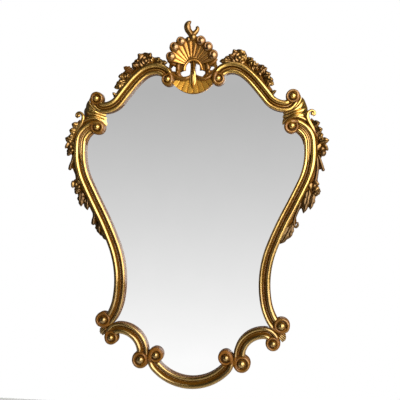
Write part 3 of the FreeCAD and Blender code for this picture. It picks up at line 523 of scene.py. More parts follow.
def voluteMeshes(run, atEnd, side, radius):
    v = voluteShape
    x, z = voluteCentre(run, atEnd, side, radius)
    radius += v["grow"]
    eye = radius * v["eyeShare"]
    rim = radius - v["rimInset"]
    floor = v["floor"]
    outline = [(rim, v["back"]), (rim, floor - 2), (rim - 0.9, floor + 0.8), (rim - 3.2, floor + 1.5),
               (eye + 3, floor - 0.4), (eye + 0.8, floor), (eye + 0.2, floor + v["eyeFoot"])]
    for i in range(1, 8):   # the ball stays open by a hair at its top
        a = radians(90 * i / 7.4)
        rise = (v["eyeTop"] - floor - v["eyeFoot"]) * sin(a)
        outline.append((eye * cos(a), floor + v["eyeFoot"] + rise))
    # the leading bead of the rail runs on round the ball
    curl = side if atEnd else -side
    outerLeads = (curl > 0) == atEnd
    bead = railShape["outerBead"] if outerLeads else railShape["innerBead"]
    beadDepth = railShape["depth"] - bead - (0 if outerLeads else railShape["innerDrop"])
    leadLeft = (bead - halfRail) if outerLeads else (halfRail - bead)
    coil = []
    for i in range(v["leadSteps"]):
        back = v["lead"] * (1 - i / v["leadSteps"]) / run["gone"][-1]
        px, pz = onRun(run, 1 - back if atEnd else back, leadLeft)
        coil.append((spot(px, pz, beadDepth), bead * (0.7 + 0.32 * i / v["leadSteps"])))
    ex, ez = onRun(run, 1.0 if atEnd else 0.0, leadLeft)
    start, entry = atan2(ez - z, ex - x), hypot(ex - x, ez - z)
    for i in range(v["coilSteps"] + 1):
        part = i / v["coilSteps"]
        thick = bead + (radius * v["coilThick"] - bead) * min(1, part / v["thickBy"])
        thick *= 1 - v["coilThin"] * max(0, part - v["thickBy"]) / (1 - v["thickBy"])
        edge = radius - 0.4 - (radius * v["coilIn"]) * part ** 2.4
        reach = min(edge - thick, radius) if i else entry
        reach = reach + (entry - reach) * max(0, 1 - part / v["joinBy"])
        depth = beadDepth + (v["coilDepth"] - beadDepth) * min(1, part / v["deepBy"])
        angle = start + curl * (part * v["turns"] * 2 * pi)
        coil.append((spot(x + reach * cos(angle), z + reach * sin(angle), depth), thick))
    return [turnedMesh(x, z, outline, v["around"]), beads([coil])]


# thin reeds lie in the coves near the shoulders and the crest, and a lip hides the glass's corner
reedShape = {   # rail: (from, to, left, depth, radius)
    "side": ((0.79, 0.985, 4.2, 21.6, 2.6), (0.82, 0.985, 0.2, 21.6, 2.6), (0.84, 0.97, -3.8, 21.6, 2.6),
             (0.87, 0.985, 14.4, 11.9, 2.5)),
    "top": ((0.70, 0.985, 2.6, 19.4, 2.2), (0.04, 0.32, 1.6, 19.4, 2.2)),
}
reedEnds = {"radius": 0.3, "soft": 0.6, "steps": 40, "sides": 8}


def reedMeshes(name):
    lines = [alongRun(name, low, high, left, depth, reedEnds["steps"],
                      lambda part: reedEnds["radius"] + radius * sin(pi * part) ** reedEnds["soft"])
             for low, high, left, depth, radius in reedShape.get(name, ())]
    return [beads(lines, reedEnds["sides"])] if lines else []


def railMeshes(name):
    run = runs[name]
    base = plainMesh([spot(x, z, 0) for x, z, h in run["points"]],
                     edges=[(i, i + 1) for i in range(len(run["points"]) - 1)])
    moulding = grown(railMoulding, base, Profile=profileObject)
    ends = [voluteCentre(run, *end) + (end[2] - railShape["sunkGap"],) for end in voluteEnds[name]]
    low = -(wallGap + railShape["sunk"]) * mm
    for vertex in moulding.vertices:   # the moulding sinks under its volutes
        if vertex.co.y < low:
            x, z = vertex.co.x / mm, vertex.co.z / mm - glassMiddle
            if any(hypot(x - cx, z - cz) < radius for cx, cz, radius in ends):
                vertex.co.y = low
    meshes = [moulding]
    for end in voluteEnds[name]:
        meshes += voluteMeshes(run, *end)
    return meshes + reedMeshes(name)


carved("apronRail", railMeshes("apron"), "rail", "apron_rail")
for name, node in (("top", "top_rail"), ("side", "side_rail"), ("lower", "lower_scroll")):
    carvedPair(name + "Rail", node, railMeshes(name), "rail")
bpy.data.objects.remove(profileObject)
print("rails and volutes ready")


# carved units, one long, one wide and one high
def closedSheet(alongCount, acrossCount, front, back):
    # a front and a back grid sewn together at their edges; across runs from -1 to 1
    points, faces = [], []
    for face in (front, back):
        points += [face(i / alongCount, 2 * j / acrossCount - 1)
                   for i in range(alongCount + 1) for j in range(acrossCount + 1)]
    row = acrossCount + 1
    half = row * (alongCount + 1)
    for i in range(alongCount):
        for j in range(acrossCount):
            a = i * row + j
            faces.append((a, a + row, a + row + 1, a + 1))
            faces.append((half + a, half + a + 1, half + a + row + 1, half + a + row))
        a = i * row
        faces.append((a, half + a, half + a + row, a + row))
        a += acrossCount
        faces.append((a, a + row, half + a + row, half + a))
    for j in range(acrossCount):
        a = j + half - row
        faces.append((j, j + 1, half + j + 1, half + j))
        faces.append((a, half + a, half + a + 1, a + 1))
    return plainMesh(points, faces)


def leafUnit(lobes, bite, bow, curl):
    def half(u):
        body = sin(pi * min(1.0, 0.04 + 0.96 * u) ** 0.8) ** 0.75
        return 0.5 * max(0.0, body) * (1 - bite + bite * abs(sin(pi * lobes * u)) ** 0.6)

    def front(u, v):
        ridge = 0.28 * exp(-(v / 0.14) ** 2)
        vein = 0.08 * abs(v) * cos(2 * pi * (lobes * u - 0.5))
        swell = 0.3 + bow * sin(pi * (0.1 + 0.8 * u))
        return (u + 0.06 * abs(v) ** 1.5 * (1 - u), half(u) * v,
                swell * (1 - 0.5 * abs(v) ** 1.8) - ridge + vein + curl * u ** 3)

    def back(u, v):
        return (u + 0.05 * abs(v) ** 1.5 * (1 - u), 0.9 * half(u) * v, -0.12 + 0.8 * curl * u ** 3)
    return sceneObject("unit", closedSheet(20, 10, front, back))


def petalUnit(dome, lip):
    def half(u):
        return 0.5 * min(1.0, 0.35 + 1.4 * u) * sqrt(max(0.0, 1 - max(0.0, (u - 0.5) / 0.5) ** 2.4))

    def front(u, v):
        rise = dome * sqrt(max(0.0, 1 - v * v)) * sin(pi * (0.12 + 0.72 * u))
        return (u, half(u) * v, 0.2 + rise + lip * u ** 3)

    def back(u, v):
        return (0.97 * u, 0.94 * half(u) * v, -0.3 + 0.6 * lip * u ** 3)
    return sceneObject("unit", closedSheet(10, 8, front, back))


def ballUnit():
    ball = bmesh.new()
    bmesh.ops.create_uvsphere(ball, u_segments=18, v_segments=12, radius=1.0)
    return sceneObject("unit", asMesh(ball))


units = {"leaf": leafUnit(lobes=3, bite=0.3, bow=0.7, curl=0.25),
         "acanthus": leafUnit(lobes=2, bite=0.14, bow=0.75, curl=0.4),
         "petal": petalUnit(dome=0.8, lip=0.35), "ball": ballUnit()}
level = Matrix.Rotation(radians(90), 3, "X")   # x right, y up and z forward
leafSet = {"wide": 1.3, "rootDepth": 10, "tipDepth": 14, "height": 8.0, "roll": 14}


def leaves(rows, kind="leaf"):
    # rows are (root x, root z, tip x, tip z, width); depth, height and roll vary from leaf to leaf
    placed = []
    for k, (x0, z0, x1, z1, width) in enumerate(rows):
        root = seen(x0, z0, leafSet["rootDepth"] + 1.5 * sin(2.1 * k))
        tip = seen(x1, z1, leafSet["tipDepth"] + 3.0 * sin(1.7 * k + 0.6))
        size = ((tip - root).length / mm, width * leafSet["wide"], leafSet["height"] + 1.2 * sin(3.3 * k))
        placed.append((root, aimed(root, tip, leafSet["roll"] * sin(2.7 * k)), size))
    return copies(units[kind], placed)


def balls(rows):
    # rows are (x, z, depth, radius)
    return copies(units["ball"], [(seen(x, z, d), level, (r, r, r)) for x, z, d, r in rows])


flowerShape = {   # the seat's depth, the heart's depth and radius, and rings of petals:
    # (count, turn, root share, tip share, rise at the tip, width share)
    "rose": (9, 20, 5.4, (5, 0.0, 0.3, 1.0, 0.16, 1.15), (4, 0.4, 0.12, 0.64, 0.42, 0.92)),
    "small": (9, 19, 3.6, (4, 0.1, 0.3, 1.0, 0.2, 1.2), (3, 0.6, 0.1, 0.6, 0.5, 0.9)),
    "cluster": (10, 15, 6.0, (3, 0.25, 0.2, 1.0, 0.35, 1.45)),
    "bell": (10, 15, 5.0, (3, 0.5, 0.15, 1.0, 0.3, 1.4)),
}
petalShape = {"height": 0.36, "rootRise": 0.35, "tilt": 8}


def flowerMeshes(kind, x, z, radius):
    seat, heartDepth, heartRadius, *rings = flowerShape[kind]
    rows = []
    for count, turn, rootShare, tipShare, rise, widthShare in rings:
        for k in range(count):
            a = 2 * pi * (k + turn) / count
            out = Vector((cos(a), 0, sin(a)))
            root = seen(x, z, seat + rise * petalShape["rootRise"] * radius) + out * rootShare * radius * mm
            tip = seen(x, z, seat + rise * radius) + out * tipShare * radius * mm
            size = ((tip - root).length / mm, widthShare * radius, radius * petalShape["height"])
            rows.append((root, aimed(root, tip, petalShape["tilt"] * sin(3 * a)), size))
    return [copies(units["petal"], rows), balls([(x, z, heartDepth, heartRadius)])]


def bentAt(points, share):
    # a place on the smooth line through some points
    padded = [points[0]] + list(points) + [points[-1]]
    t = share * (len(points) - 1)
    k = min(int(t), len(points) - 2)
    f = t - k
    return [0.5 * (2 * b + (c - a) * f + (2 * a - 5 * b + 4 * c - d) * f * f
                   + (3 * b - a - 3 * c + d) * f ** 3) for a, b, c, d in zip(*padded[k:k + 4])]


def bentBeads(lines, count=40, place=seen):
    # smooth beads through (x, z, depth, radius) points
    rows = [[bentAt(line, i / count) for i in range(count + 1)] for line in lines]
    return beads([[(place(*row[:3]), max(0.2, row[3])) for row in line] for line in rows])


def flutedMesh(f):
    # a leaf of rounded flutes laid over lines of (x, z, depth), with a scalloped end
    def front(u, v):
        part = (v + 1) / 2
        crown = abs(sin(pi * f["flutes"] * part))
        x, z, depth = bentAt([bentAt(line, u * (0.94 + 0.06 * crown)) for line in f["lines"]], part)
        return tuple(spot(x, z, depth + f["rise"] * crown * min(1.0, 0.35 + 2 * u)))

    def back(u, v):
        x, z = bentAt([bentAt(line, u) for line in f["lines"]], (v + 1) / 2)[:2]
        return tuple(spot(x, z, f["back"]))
    return closedSheet(24, 10 * f["flutes"], front, back)


def plateMesh(loops, front, back):
    # a flat plate between two depths: its edge, then any holes
    shape = bmesh.new()
    for loop in loops:
        corners = [shape.verts.new(seen(x, z, front)) for x, z in loop]
        for a, b in zip(corners, corners[1:] + corners[:1]):
            shape.edges.new((a, b))
    filled = bmesh.ops.triangle_fill(shape, edges=shape.edges, use_beauty=True, use_dissolve=False)
    faces = [f for f in filled["geom"] if isinstance(f, bmesh.types.BMFace)]
    pulled = bmesh.ops.extrude_face_region(shape, geom=faces)
    for vertex in [v for v in pulled["geom"] if isinstance(v, bmesh.types.BMVert)]:
        vertex.co.y = -(wallGap + back) * mm
    return asMesh(shape)


# crest: a fluted shell with rolled lobes over a pierced panel, a skirt and an open finial
shellFan = {"root": (-2.5, 322.0), "angles": (15, 165), "inner": 14.0, "reach": 55.0, "swell": 17.0,
            "flutes": 12, "across": 10, "rise": 2.6, "soft": 0.6, "rootDepth": 15.0, "lipDepth": 34.0,
            "thick": 9.0}
skirtFan = {"root": (0.0, 331.0), "angles": (-137, -43), "inner": 40.5, "reach": 65.0, "swell": 8.5,
            "flutes": 8, "across": 20, "rise": 1.6, "soft": 0.08, "rootDepth": 12.0, "lipDepth": 14.5,
            "thick": 6.0}


def fanMesh(f):
    # rounded flutes that spread from a root
    low, high = [radians(a) for a in f["angles"]]

    def place(u, v, lift):
        part = (v + 1) / 2
        a = low + (high - low) * part
        crown = abs(sin(pi * f["flutes"] * part)) ** f["soft"]
        r = f["inner"] + (f["reach"] + f["swell"] * sin(a) ** 2 - f["inner"]) * u
        depth = f["rootDepth"] + (f["lipDepth"] - f["rootDepth"]) * u ** 1.3 + lift
        depth += f["rise"] * (0.35 + 0.65 * u) * crown
        return tuple(seen(f["root"][0] + r * cos(a), f["root"][1] + r * sin(a), depth))
    return closedSheet(16, f["across"] * f["flutes"], lambda u, v: place(u, v, 0),
                       lambda u, v: place(u, v, -f["thick"]))


lobeShape = {"depth": 30.5, "size": (0.95, 1.02, 0.72), "foldFrom": -70, "foldTurn": 250, "foldSteps": 24,
             "balls": ((-55, 347, 12.2), (-46, 370, 12.6), (-30.5, 383.5, 11.8), (18, 384, 12.8),
                       (35.5, 369.5, 12.6), (48, 350, 12.8))}   # x, z and radius


def lobeMeshes():
    s = lobeShape
    rolls, folds = [], []
    for x, z, r in s["balls"]:
        a = atan2(z - shellFan["root"][1], x - shellFan["root"][0])
        centre = seen(x, z, s["depth"])
        basis = level @ Matrix.Rotation(a, 3, "Z")
        rolls.append((centre, basis, [r * share for share in s["size"]]))
        fold = []   # the flute's edge rolls over the lobe
        for i in range(s["foldSteps"] + 1):
            part = i / s["foldSteps"]
            t = radians(s["foldFrom"] + s["foldTurn"] * i / s["foldSteps"])
            reach = r * (0.86 - 0.5 * part)
            place = Vector((cos(t) * reach, sin(t) * reach, r * (0.36 + 0.3 * part)))
            fold.append((centre + basis @ place * mm, r * 0.22 * sin(pi * (0.1 + 0.8 * part))))
        folds.append(fold)
    return [copies(units["ball"], rolls), beads(folds, 8)]


carved("shellFan", [fanMesh(shellFan)], "shell", "shell")
carved("shellLobes", lobeMeshes(), "lobe")

archRuns = (
    ((-22, 313, 15, 5.2), (-20.5, 322, 15, 3.6), (-15.5, 331, 15.5, 3.4), (-8, 336.5, 16, 3.4),
     (0, 338, 16, 3.4), (8, 336.5, 16, 3.4), (15.5, 331, 15.5, 3.4), (20, 322, 15, 3.6),
     (21.5, 313, 15, 5.2)),
    ((-14, 341, 16, 1.2), (0, 344, 17.5, 1.7), (14, 341, 16, 1.2)))
carved("shellArch", [bentBeads(archRuns)], "shell", "shell_arch")

dropShape = {"front": 16.5, "bevel": 3.0, "ridge": 3.0, "ridgeWidth": 0.4, "back": 8,
             "line": ((338, 2.0), (328, 2.4), (318, 3.4), (306, 6.0), (296, 8.4), (286, 7.6), (277, 4.4),
                      (269, 0.6))}   # height and half width


def dropMesh():
    s = dropShape

    def front(u, v):
        z, half = bentAt(s["line"], u)
        ridge = s["ridge"] * exp(-(v / s["ridgeWidth"]) ** 2)
        return tuple(seen(half * v, z, s["front"] + s["bevel"] * (1 - abs(v)) + ridge))

    def back(u, v):
        z, half = bentAt(s["line"], u)
        return tuple(seen(half * v, z, s["back"]))
    return closedSheet(28, 14, front, back)


carved("centralDrop", [dropMesh()], "rail", "central_drop")

scrollRuns = {
    "Right": (
        ((27, 339, 12, 3.6), (34, 329, 13, 5.4), (36.5, 316, 13, 5.8), (35, 304, 13, 5.6),
         (27, 296, 12, 4.0)),
        ((5, 301, 13, 3.4), (14, 295, 15, 5.0), (27, 292.5, 15, 5.4), (40, 297, 14.5, 5.0),
         (49, 306, 13, 3.4)),
        ((58, 340, 16, 3.0), (50, 333, 17, 5.6), (40, 328, 16, 5.0)),
        ((38, 314, 18, 3.0), (38.5, 309, 20, 4.6), (38, 305, 18, 3.0))),
    "Left": (
        ((-27, 339, 12, 3.6), (-35, 329, 13, 5.4), (-37, 316, 13, 5.8), (-36, 304, 13, 5.6),
         (-29, 296, 12, 4.0)),
        ((-6, 299, 13, 3.4), (-15, 294, 15, 5.0), (-28, 293, 15, 5.4), (-41, 297, 14.5, 5.0),
         (-50, 306, 13, 3.4)),
        ((-62, 338, 16, 3.0), (-52, 332, 17, 5.6), (-43, 327, 16, 5.0)),
        ((-38, 314, 17, 3.0), (-38.5, 309, 18.5, 4.4), (-38, 305, 17, 3.0))),
}
for side, lines in scrollRuns.items():
    carved("crestScroll" + side, [bentBeads(lines)], "leaf", "c_scroll_" + side.lower())
carved("shellSkirt", [fanMesh(skirtFan)], "skirt", "shell_skirt")

finialRuns = (
    ((-3, 395, 33, 7.0), (-8, 404, 33, 7.4), (-13, 411.5, 33, 8.0), (-14.5, 419.5, 33, 8.4),
     (-12.5, 425.5, 33, 7.2), (-8.5, 428, 33, 5.4), (-6.5, 427.5, 33, 3.6)),
    ((-4, 397, 33, 6.6), (3, 402.5, 33, 6.2), (8.5, 408.5, 33, 5.4), (10, 414.5, 33, 4.6),
     (8, 418.5, 33, 3.0)))
finialBalls = ((-1, 393, 33, 9.0), (-12, 388, 32, 6.5), (9, 389, 32, 6.0))
carved("finialScroll", [bentBeads(finialRuns), balls(finialBalls)], "leaf", "finial")

panelShape = {
    "edge": (
        (-60, 318), (-56, 338), (-44, 350), (-22, 358), (0, 360), (22, 358), (44, 350), (56, 338),
        (60, 318), (58, 300), (48, 288), (34, 280), (16, 277), (-16, 277), (-34, 280), (-48, 288),
        (-58, 300)),
    "holes": (
        ((-6, 318), (-6.5, 330), (-11, 334), (-16, 331), (-19, 322), (-22, 314), (-30, 311), (-31, 303),
         (-24, 298), (-12, 298), (-7, 304)),
        ((6, 318), (6.5, 330), (11, 334), (16, 331), (19, 322), (22, 314), (29, 311), (30, 303),
         (24, 297), (12, 298), (7, 304)),
        ((-55, 320), (-50, 326), (-44, 323), (-40, 315), (-43, 311), (-50, 312)),
        ((40, 316), (44, 323), (50, 323), (52, 318), (47, 313), (42, 313))),
    "front": 11.0, "back": 0.2,
}
panel = plateMesh((panelShape["edge"],) + panelShape["holes"], panelShape["front"], panelShape["back"])
carved("crestPanel", [panel], "leaf", "crest_panel")
print("crest ready")

# shoulders and knees: fluted leaves gather the volutes together
collarShape = {
    "flutes": 3, "rise": 3.4, "back": 1.0,
    "lines": (
        ((213, 177, 6.5), (228, 189, 15), (246, 194, 18), (263, 189, 16), (281, 174, 5)),
        ((213.5, 194, 6.5), (235, 203, 18), (252, 206.5, 20), (264, 207, 16), (276, 208, 4)),
        ((214, 204, 6.5), (237, 209.5, 18), (252, 214, 20), (262, 221, 16), (272, 229, 4)),
        ((216, 214, 6.5), (236, 216.5, 18), (248, 223, 19), (257, 234, 15), (262, 248, 4))),
    "ribs": (
        ((221, 182, 14, 1.4), (229, 192.5, 19, 2.2), (245, 199, 22, 2.4), (262, 195.5, 21, 2.4),
         (275, 187, 17, 2.0), (288, 174, 13, 1.0)),
        ((231, 214, 18, 1.2), (244, 221, 21, 2.0), (252, 229, 21, 2.2), (257.5, 240, 18, 2.0),
         (256, 251, 14, 1.0))),
}
kneeShape = {
    "flutes": 4, "rise": 1.8, "back": 1.0,
    "lines": (
        ((206, -308, 11), (217, -312, 15), (228, -319, 10)),
        ((205, -314, 11), (216, -320, 16), (228, -330, 10)),
        ((204, -319, 11), (212, -327, 15), (220, -337, 10))),
}
collarRibs = bentBeads(collarShape["ribs"], place=spot)
carvedPair("shoulder_collar", "shoulder_collar", [flutedMesh(collarShape), collarRibs], "rail")
carvedPair("knee_leaf", "knee_leaf", [flutedMesh(kneeShape)], "rail")
print("collars ready")

# sprays of roses on the top rails; leaves are root and tip with a width
sprayShape = {
    "bed": 8.0, "stem": ("top", 0.33, 0.87, 6.0),
    "Right": {
        "outline": (
            (70, 334), (80, 343), (90, 346), (95, 355), (100, 355), (104, 350), (118, 353), (126, 352),
            (131, 341), (142, 336), (144, 326), (154, 320), (168, 319), (174, 311), (181, 302),
            (178, 294), (187, 286), (189, 277), (181, 271), (180, 262), (189, 257), (195, 250),
            (198, 240), (182, 251), (167, 268), (156, 284), (146, 296), (136, 306), (120, 316),
            (100, 321), (85, 327), (72, 326)),
        "rose": (111, 341, 20.5), "small": (153, 316, 12.5),
        "leaves": (
            (104, 348, 97, 362, 11), (98, 338, 86, 350, 12), (92, 335, 78, 345, 13),
            (117, 345, 125, 358, 12), (118, 341, 131, 346, 12), (126, 332, 146, 339, 13),
            (130, 326, 150, 330, 13), (95, 334, 64, 333, 14), (156, 312, 172, 322, 13),
            (160, 308, 179, 315, 13), (166, 300, 188, 301, 14), (150, 297, 170, 309, 13),
            (170, 292, 194, 286, 15), (174, 284, 195, 275, 15), (184, 251, 201, 262, 9),
            (142, 318, 150, 334, 11)),
    },
    "Left": {
        "outline": (
            (-64, 334), (-72, 337), (-80, 342), (-90, 342), (-100, 346), (-103, 353), (-110, 354),
            (-125, 350), (-136, 350), (-140, 338), (-143, 330), (-141, 323), (-150, 317), (-168, 316),
            (-176, 309), (-180, 300), (-177, 289), (-186, 281), (-187, 274), (-180, 269), (-184, 262),
            (-193, 258), (-192, 249), (-188, 242), (-182, 250), (-170, 266), (-160, 280), (-150, 292),
            (-140, 303), (-130, 310), (-115, 318), (-100, 322), (-85, 326), (-70, 328)),
        "rose": (-117, 338, 20.5), "small": (-163, 302, 13),
        "leaves": (
            (-125, 345, -137, 356, 12), (-110, 345, -103, 358, 11), (-128, 335, -146, 338, 13),
            (-130, 328, -152, 330, 13), (-108, 336, -95, 346, 13), (-95, 333, -81, 346, 14),
            (-98, 332, -62, 332, 14), (-148, 311, -172, 324, 14), (-168, 300, -186, 301, 13),
            (-165, 290, -191, 282, 15), (-168, 282, -194, 272, 15), (-184, 248, -199, 263, 9),
            (-142, 318, -150, 332, 11)),
    },
}
stemShape = {"out": 2.5, "depth": 6.5, "steps": 60, "bedBack": 1.0}


def bedMeshes(name, low, high, radius, sign, outline, front):
    # the stem and the carved ground that flowers and leaves grow out of
    s = stemShape
    stem = alongRun(name, low, high, -(halfRail + s["out"]), s["depth"], s["steps"],
                    lambda part: radius * (0.5 + 0.5 * sin(pi * part) ** 0.5), sign)
    return [beads([stem]), plateMesh([outline], front, s["bedBack"])]


def sided(name, side, node, meshes, gilding="leaf"):
    carved(name + side, meshes, gilding, node + "_" + side.lower())


for side, sign in (("Right", 1), ("Left", -1)):
    s = sprayShape[side]
    sided("rose", side, "rose", flowerMeshes("rose", *s["rose"]))
    sided("smallFlower", side, "small_flower", flowerMeshes("small", *s["small"]))
    sided("sprayLeaves", side, "spray_leaves", [leaves(s["leaves"])])
    bed = bedMeshes(*sprayShape["stem"], sign, s["outline"], sprayShape["bed"])
    sided("sprayBed", side, "spray_stem", bed, "ground")
print("sprays ready")

# garlands down the outside of the side rails; straps are hanging bands of (x, z, depth, radius)
garlandShape = {
    "bed": 7.5, "stem": ("side", 0.43, 0.915, 5.5),
    "curl": (
        (302, 143, 8, 5.0), (294, 158, 11, 6.6), (286, 172, 14, 6.4), (278, 186, 17, 5.4),
        (273.5, 199, 19, 4.6), (276, 209, 19, 3.8), (283, 213.5, 19, 3.5), (289.5, 210.5, 19, 3.3),
        (290.5, 205, 19, 3.2), (286.5, 202.5, 19, 3.4)),
    "ball": ((285, 206, 20, 4.2),),
    "Right": {
        "outline": (
            (283, 196), (296, 184), (300, 176), (303, 168), (302, 160), (309, 152), (316, 145),
            (314, 138), (317, 128), (318, 116), (310, 108), (305, 98), (307, 84), (308, 75), (302, 74),
            (298, 66), (299, 50), (301, 40), (300, 30), (296, 22), (291, 14), (287, 8), (286, -2),
            (281, -16), (274, -14), (267, -24), (262, -18), (254, -22), (250, -40), (251, -52),
            (247, -61), (242, -60), (238, -66), (236, -80), (228, -93), (217, -98), (212, -96),
            (228, -72), (246, -38), (264, -2), (278, 30), (286, 60), (292, 95), (292, 125), (290, 145),
            (284, 165), (276, 180)),
        "cluster": (308.5, 123, 14.5), "bell": (291, 36, 13),
        "acanthus": (
            (282, 178, 304, 185, 15), (289, 164, 310, 170, 16), (295, 152, 312, 156, 15),
            (299, 141, 325, 144, 15)),
        "leaves": (
            (279, 28, 266, -30, 18), (289, 20, 282, -21, 14), (303, 30, 292, 10, 11),
            (240, -52, 236, -88, 13), (236, -58, 212, -102, 20)),
        "straps": (
            ((300, 108, 11, 3.4), (305, 94, 13, 3.6), (309, 82, 14, 3.8), (311, 75, 13, 4.0)),
            ((297, 104, 9, 4.6), (298, 80, 11, 4.2), (296, 60, 11, 4.4), (293, 46, 11, 5.0)),
            ((262, 2, 9, 4.6), (254, -20, 11, 3.8), (246.5, -40, 12, 3.4), (244.5, -54, 12.5, 3.0),
             (248.5, -62, 13, 3.0), (253.5, -58, 13, 3.0), (252.5, -50, 13, 2.4))),
        "drops": ((310.5, 112.5, 14, 7.6), (293, 17, 14, 4.6), (311.3, 74, 13, 4.2)),
    },
    "Left": {
        "outline": (
            (-283, 196), (-296, 182), (-299, 172), (-297, 161), (-309, 152), (-314, 146), (-312, 138),
            (-315, 128), (-311, 116), (-303, 110), (-298, 103), (-301, 90), (-305, 77), (-299, 74),
            (-293, 60), (-291, 50), (-299, 44), (-298, 34), (-292, 24), (-286, 15), (-280, 10), (-279, 0),
            (-276, -10), (-270, -10), (-261, -21), (-254, -17), (-247, -22), (-243, -40), (-247, -50),
            (-246, -60), (-237, -59), (-231, -64), (-231, -76), (-226, -84), (-214, -95), (-209, -92),
            (-225, -66), (-240, -36), (-256, -2), (-268, 30), (-278, 60), (-286, 95), (-288, 125),
            (-286, 145), (-282, 165), (-276, 180)),
        "cluster": (-305, 129, 14.5), "bell": (-290, 36, 13.5),
        "acanthus": (
            (-282, 178, -303, 186, 15), (-289, 164, -309, 170, 16), (-293, 152, -310, 157, 15),
            (-297, 141, -319, 150, 15)),
        "leaves": (
            (-282, 28, -291, 11, 13), (-276, 22, -276, -19, 15), (-266, 18, -260, -28, 17),
            (-300, 124, -312, 106, 12), (-234, -54, -230, -86, 13), (-230, -58, -208, -102, 18)),
        "straps": (
            ((-296, 110, 9, 4.6), (-300, 94, 12, 4.0), (-305, 82, 13, 4.0), (-306, 76, 13, 4.2)),
            ((-292, 106, 9, 4.6), (-293, 84, 11, 4.2), (-289, 64, 11, 4.4), (-286, 48, 11, 5.0)),
            ((-254, 2, 9, 4.6), (-247, -20, 11, 3.8), (-243, -40, 12, 3.8), (-244.5, -52, 12.5, 5.0),
             (-245, -58, 12.5, 5.4))),
        "drops": ((-308, 118, 13, 7.0), (-306.3, 75, 13, 4.4), (-245.2, -59, 12.5, 5.5)),
    },
}

for side, sign in (("Right", 1), ("Left", -1)):
    g = garlandShape[side]
    curl, ball = [[(sign * x, z, d, r) for x, z, d, r in garlandShape[key]] for key in ("curl", "ball")]
    carved("garlandCurl" + side, [bentBeads([curl], 60), balls(ball)], "rail")
    sided("acanthus", side, "acanthus", [leaves(g["acanthus"], "acanthus")])
    sided("upperFlower", side, "upper_flower", flowerMeshes("cluster", *g["cluster"]))
    sided("lowerFlower", side, "lower_flower", flowerMeshes("bell", *g["bell"]))
    sided("garlandStraps", side, "garland_pods", [bentBeads(g["straps"]), balls(g["drops"])], "dusk")
    sided("garlandLeaves", side, "garland_leaves", [leaves(g["leaves"])], "dusk")
    bed = bedMeshes(*garlandShape["stem"], sign, g["outline"], garlandShape["bed"])
    sided("garlandBed", side, "garland_stem", bed, "ground")
for unit in units.values():
    bpy.data.objects.remove(unit)
print("garlands ready")

# how open each point of the carving lies: the hollows keep their dark patina, and the same darkening paints
# the shade that falls in them
patinaAndShade = {"rays": 16, "lift": 0.35, "soft": 0.7, "passes": 3, "turned": 0.22, "square": 0.65,
          "volute": 0.76, "dull": {"crestScrollRight": 0.7, "crestScrollLeft": 0.66, "finialScroll": 0.78}}


def reliefOf():
    points, faces = [], []
    for obj, gilding in giltPieces:
        start = len(points)
        points += [v.co.copy() for v in obj.data.vertices]
        faces += [tuple(start + i for i in p.vertices) for p in obj.data.polygons]
    bvh = BVHTree.FromPolygons(points, faces)
    rays = []
    for k in range(patinaAndShade["rays"]):   # an even spread over the half sphere
        up = sqrt((k + 0.5) / patinaAndShade["rays"])
        a = k * pi * (3 - sqrt(5))
        rays.append((sqrt(1 - up * up) * cos(a), sqrt(1 - up * up) * sin(a), up))
    eyes = [voluteCentre(runs[name], *end) + (end[2],) for name in voluteEnds for end in voluteEnds[name]]
    for obj, gilding in giltPieces:
        mesh = obj.data
        reach = giltShades[gilding][-1] * mm
        shade = np.zeros(len(mesh.vertices))
        for vertex in mesh.vertices:
            normal = vertex.normal
            side = normal.orthogonal().normalized()
            other = normal.cross(side)
            start = vertex.co + normal * patinaAndShade["lift"] * mm
            free = 0.0
            for x, y, up in rays:
                hit = bvh.ray_cast(start, side * x + other * y + normal * up, reach)
                free += 1.0 if hit[3] is None else (hit[3] / reach) ** patinaAndShade["soft"]
            # the sides stay dark: partly rubbing from the front, partly painted shade on faces turned from
            # the front
            facing = min(1.0, max(0.0, -normal.y / patinaAndShade["square"]))
            shade[vertex.index] = free / len(rays) * (patinaAndShade["turned"] + (1 - patinaAndShade["turned"]) * facing)
        # painted shade: the crest scrolls are darkened, the left one more than the right; the finial is
        # darkened too
        shade *= patinaAndShade["dull"].get(obj.name, 1.0)
        for x, z, radius in eyes if "Rail" in obj.name else ():
            for vertex in mesh.vertices:   # painted shade: the coils round the balls are darkened
                gap = hypot(abs(vertex.co.x) / mm - abs(x), vertex.co.z / mm - glassMiddle - z)
                if voluteShape["eyeShare"] * radius + 1 < gap < radius + 1.5:
                    shade[vertex.index] *= patinaAndShade["volute"]
        ends = np.array([e.vertices for e in mesh.edges])
        for step in range(patinaAndShade["passes"]):
            total = shade.copy()
            number = np.ones(len(shade))
            for a, b in ((0, 1), (1, 0)):
                np.add.at(total, ends[:, a], shade[ends[:, b]])
                np.add.at(number, ends[:, a], 1)
            shade = total / number
        attribute(mesh, "relief", "FLOAT", shade)


reliefOf()
print("patina ready")


# glass, board and the hardware on the back
def stretched(place, *scales):
    return firstOf(place.id_data, "ShaderNodeMapping", {0: place, 3: scales})


def metalGroup():
    # drawn metal with handling marks: lighter on the rubbed places, dull between them
    tree, given, out = nodeGroup("handledMetal", "ShaderNodeTree",
                                 {"Place": "Vector", "Bright": "Color", "Dull": "Color", "Rough": "Float"},
                                 {"Color": "Color", "Rough": "Float", "Height": "Float"})
    cloud = noise(given["Place"], 90.0)
    lines = noise(stretched(given["Place"], 400.0, 400.0, 2600.0), 1.0, 2.0)
    worn = span(plus(cloud, sway(lines, 0.3)), 0.38, 0.62)
    feed(out, {"Color": blend(worn, given["Dull"], given["Bright"]), "Height": lines,
               "Rough": plus(given["Rough"], times(less(lines, worn), 0.16))})
    return tree


handledMetal = metalGroup()


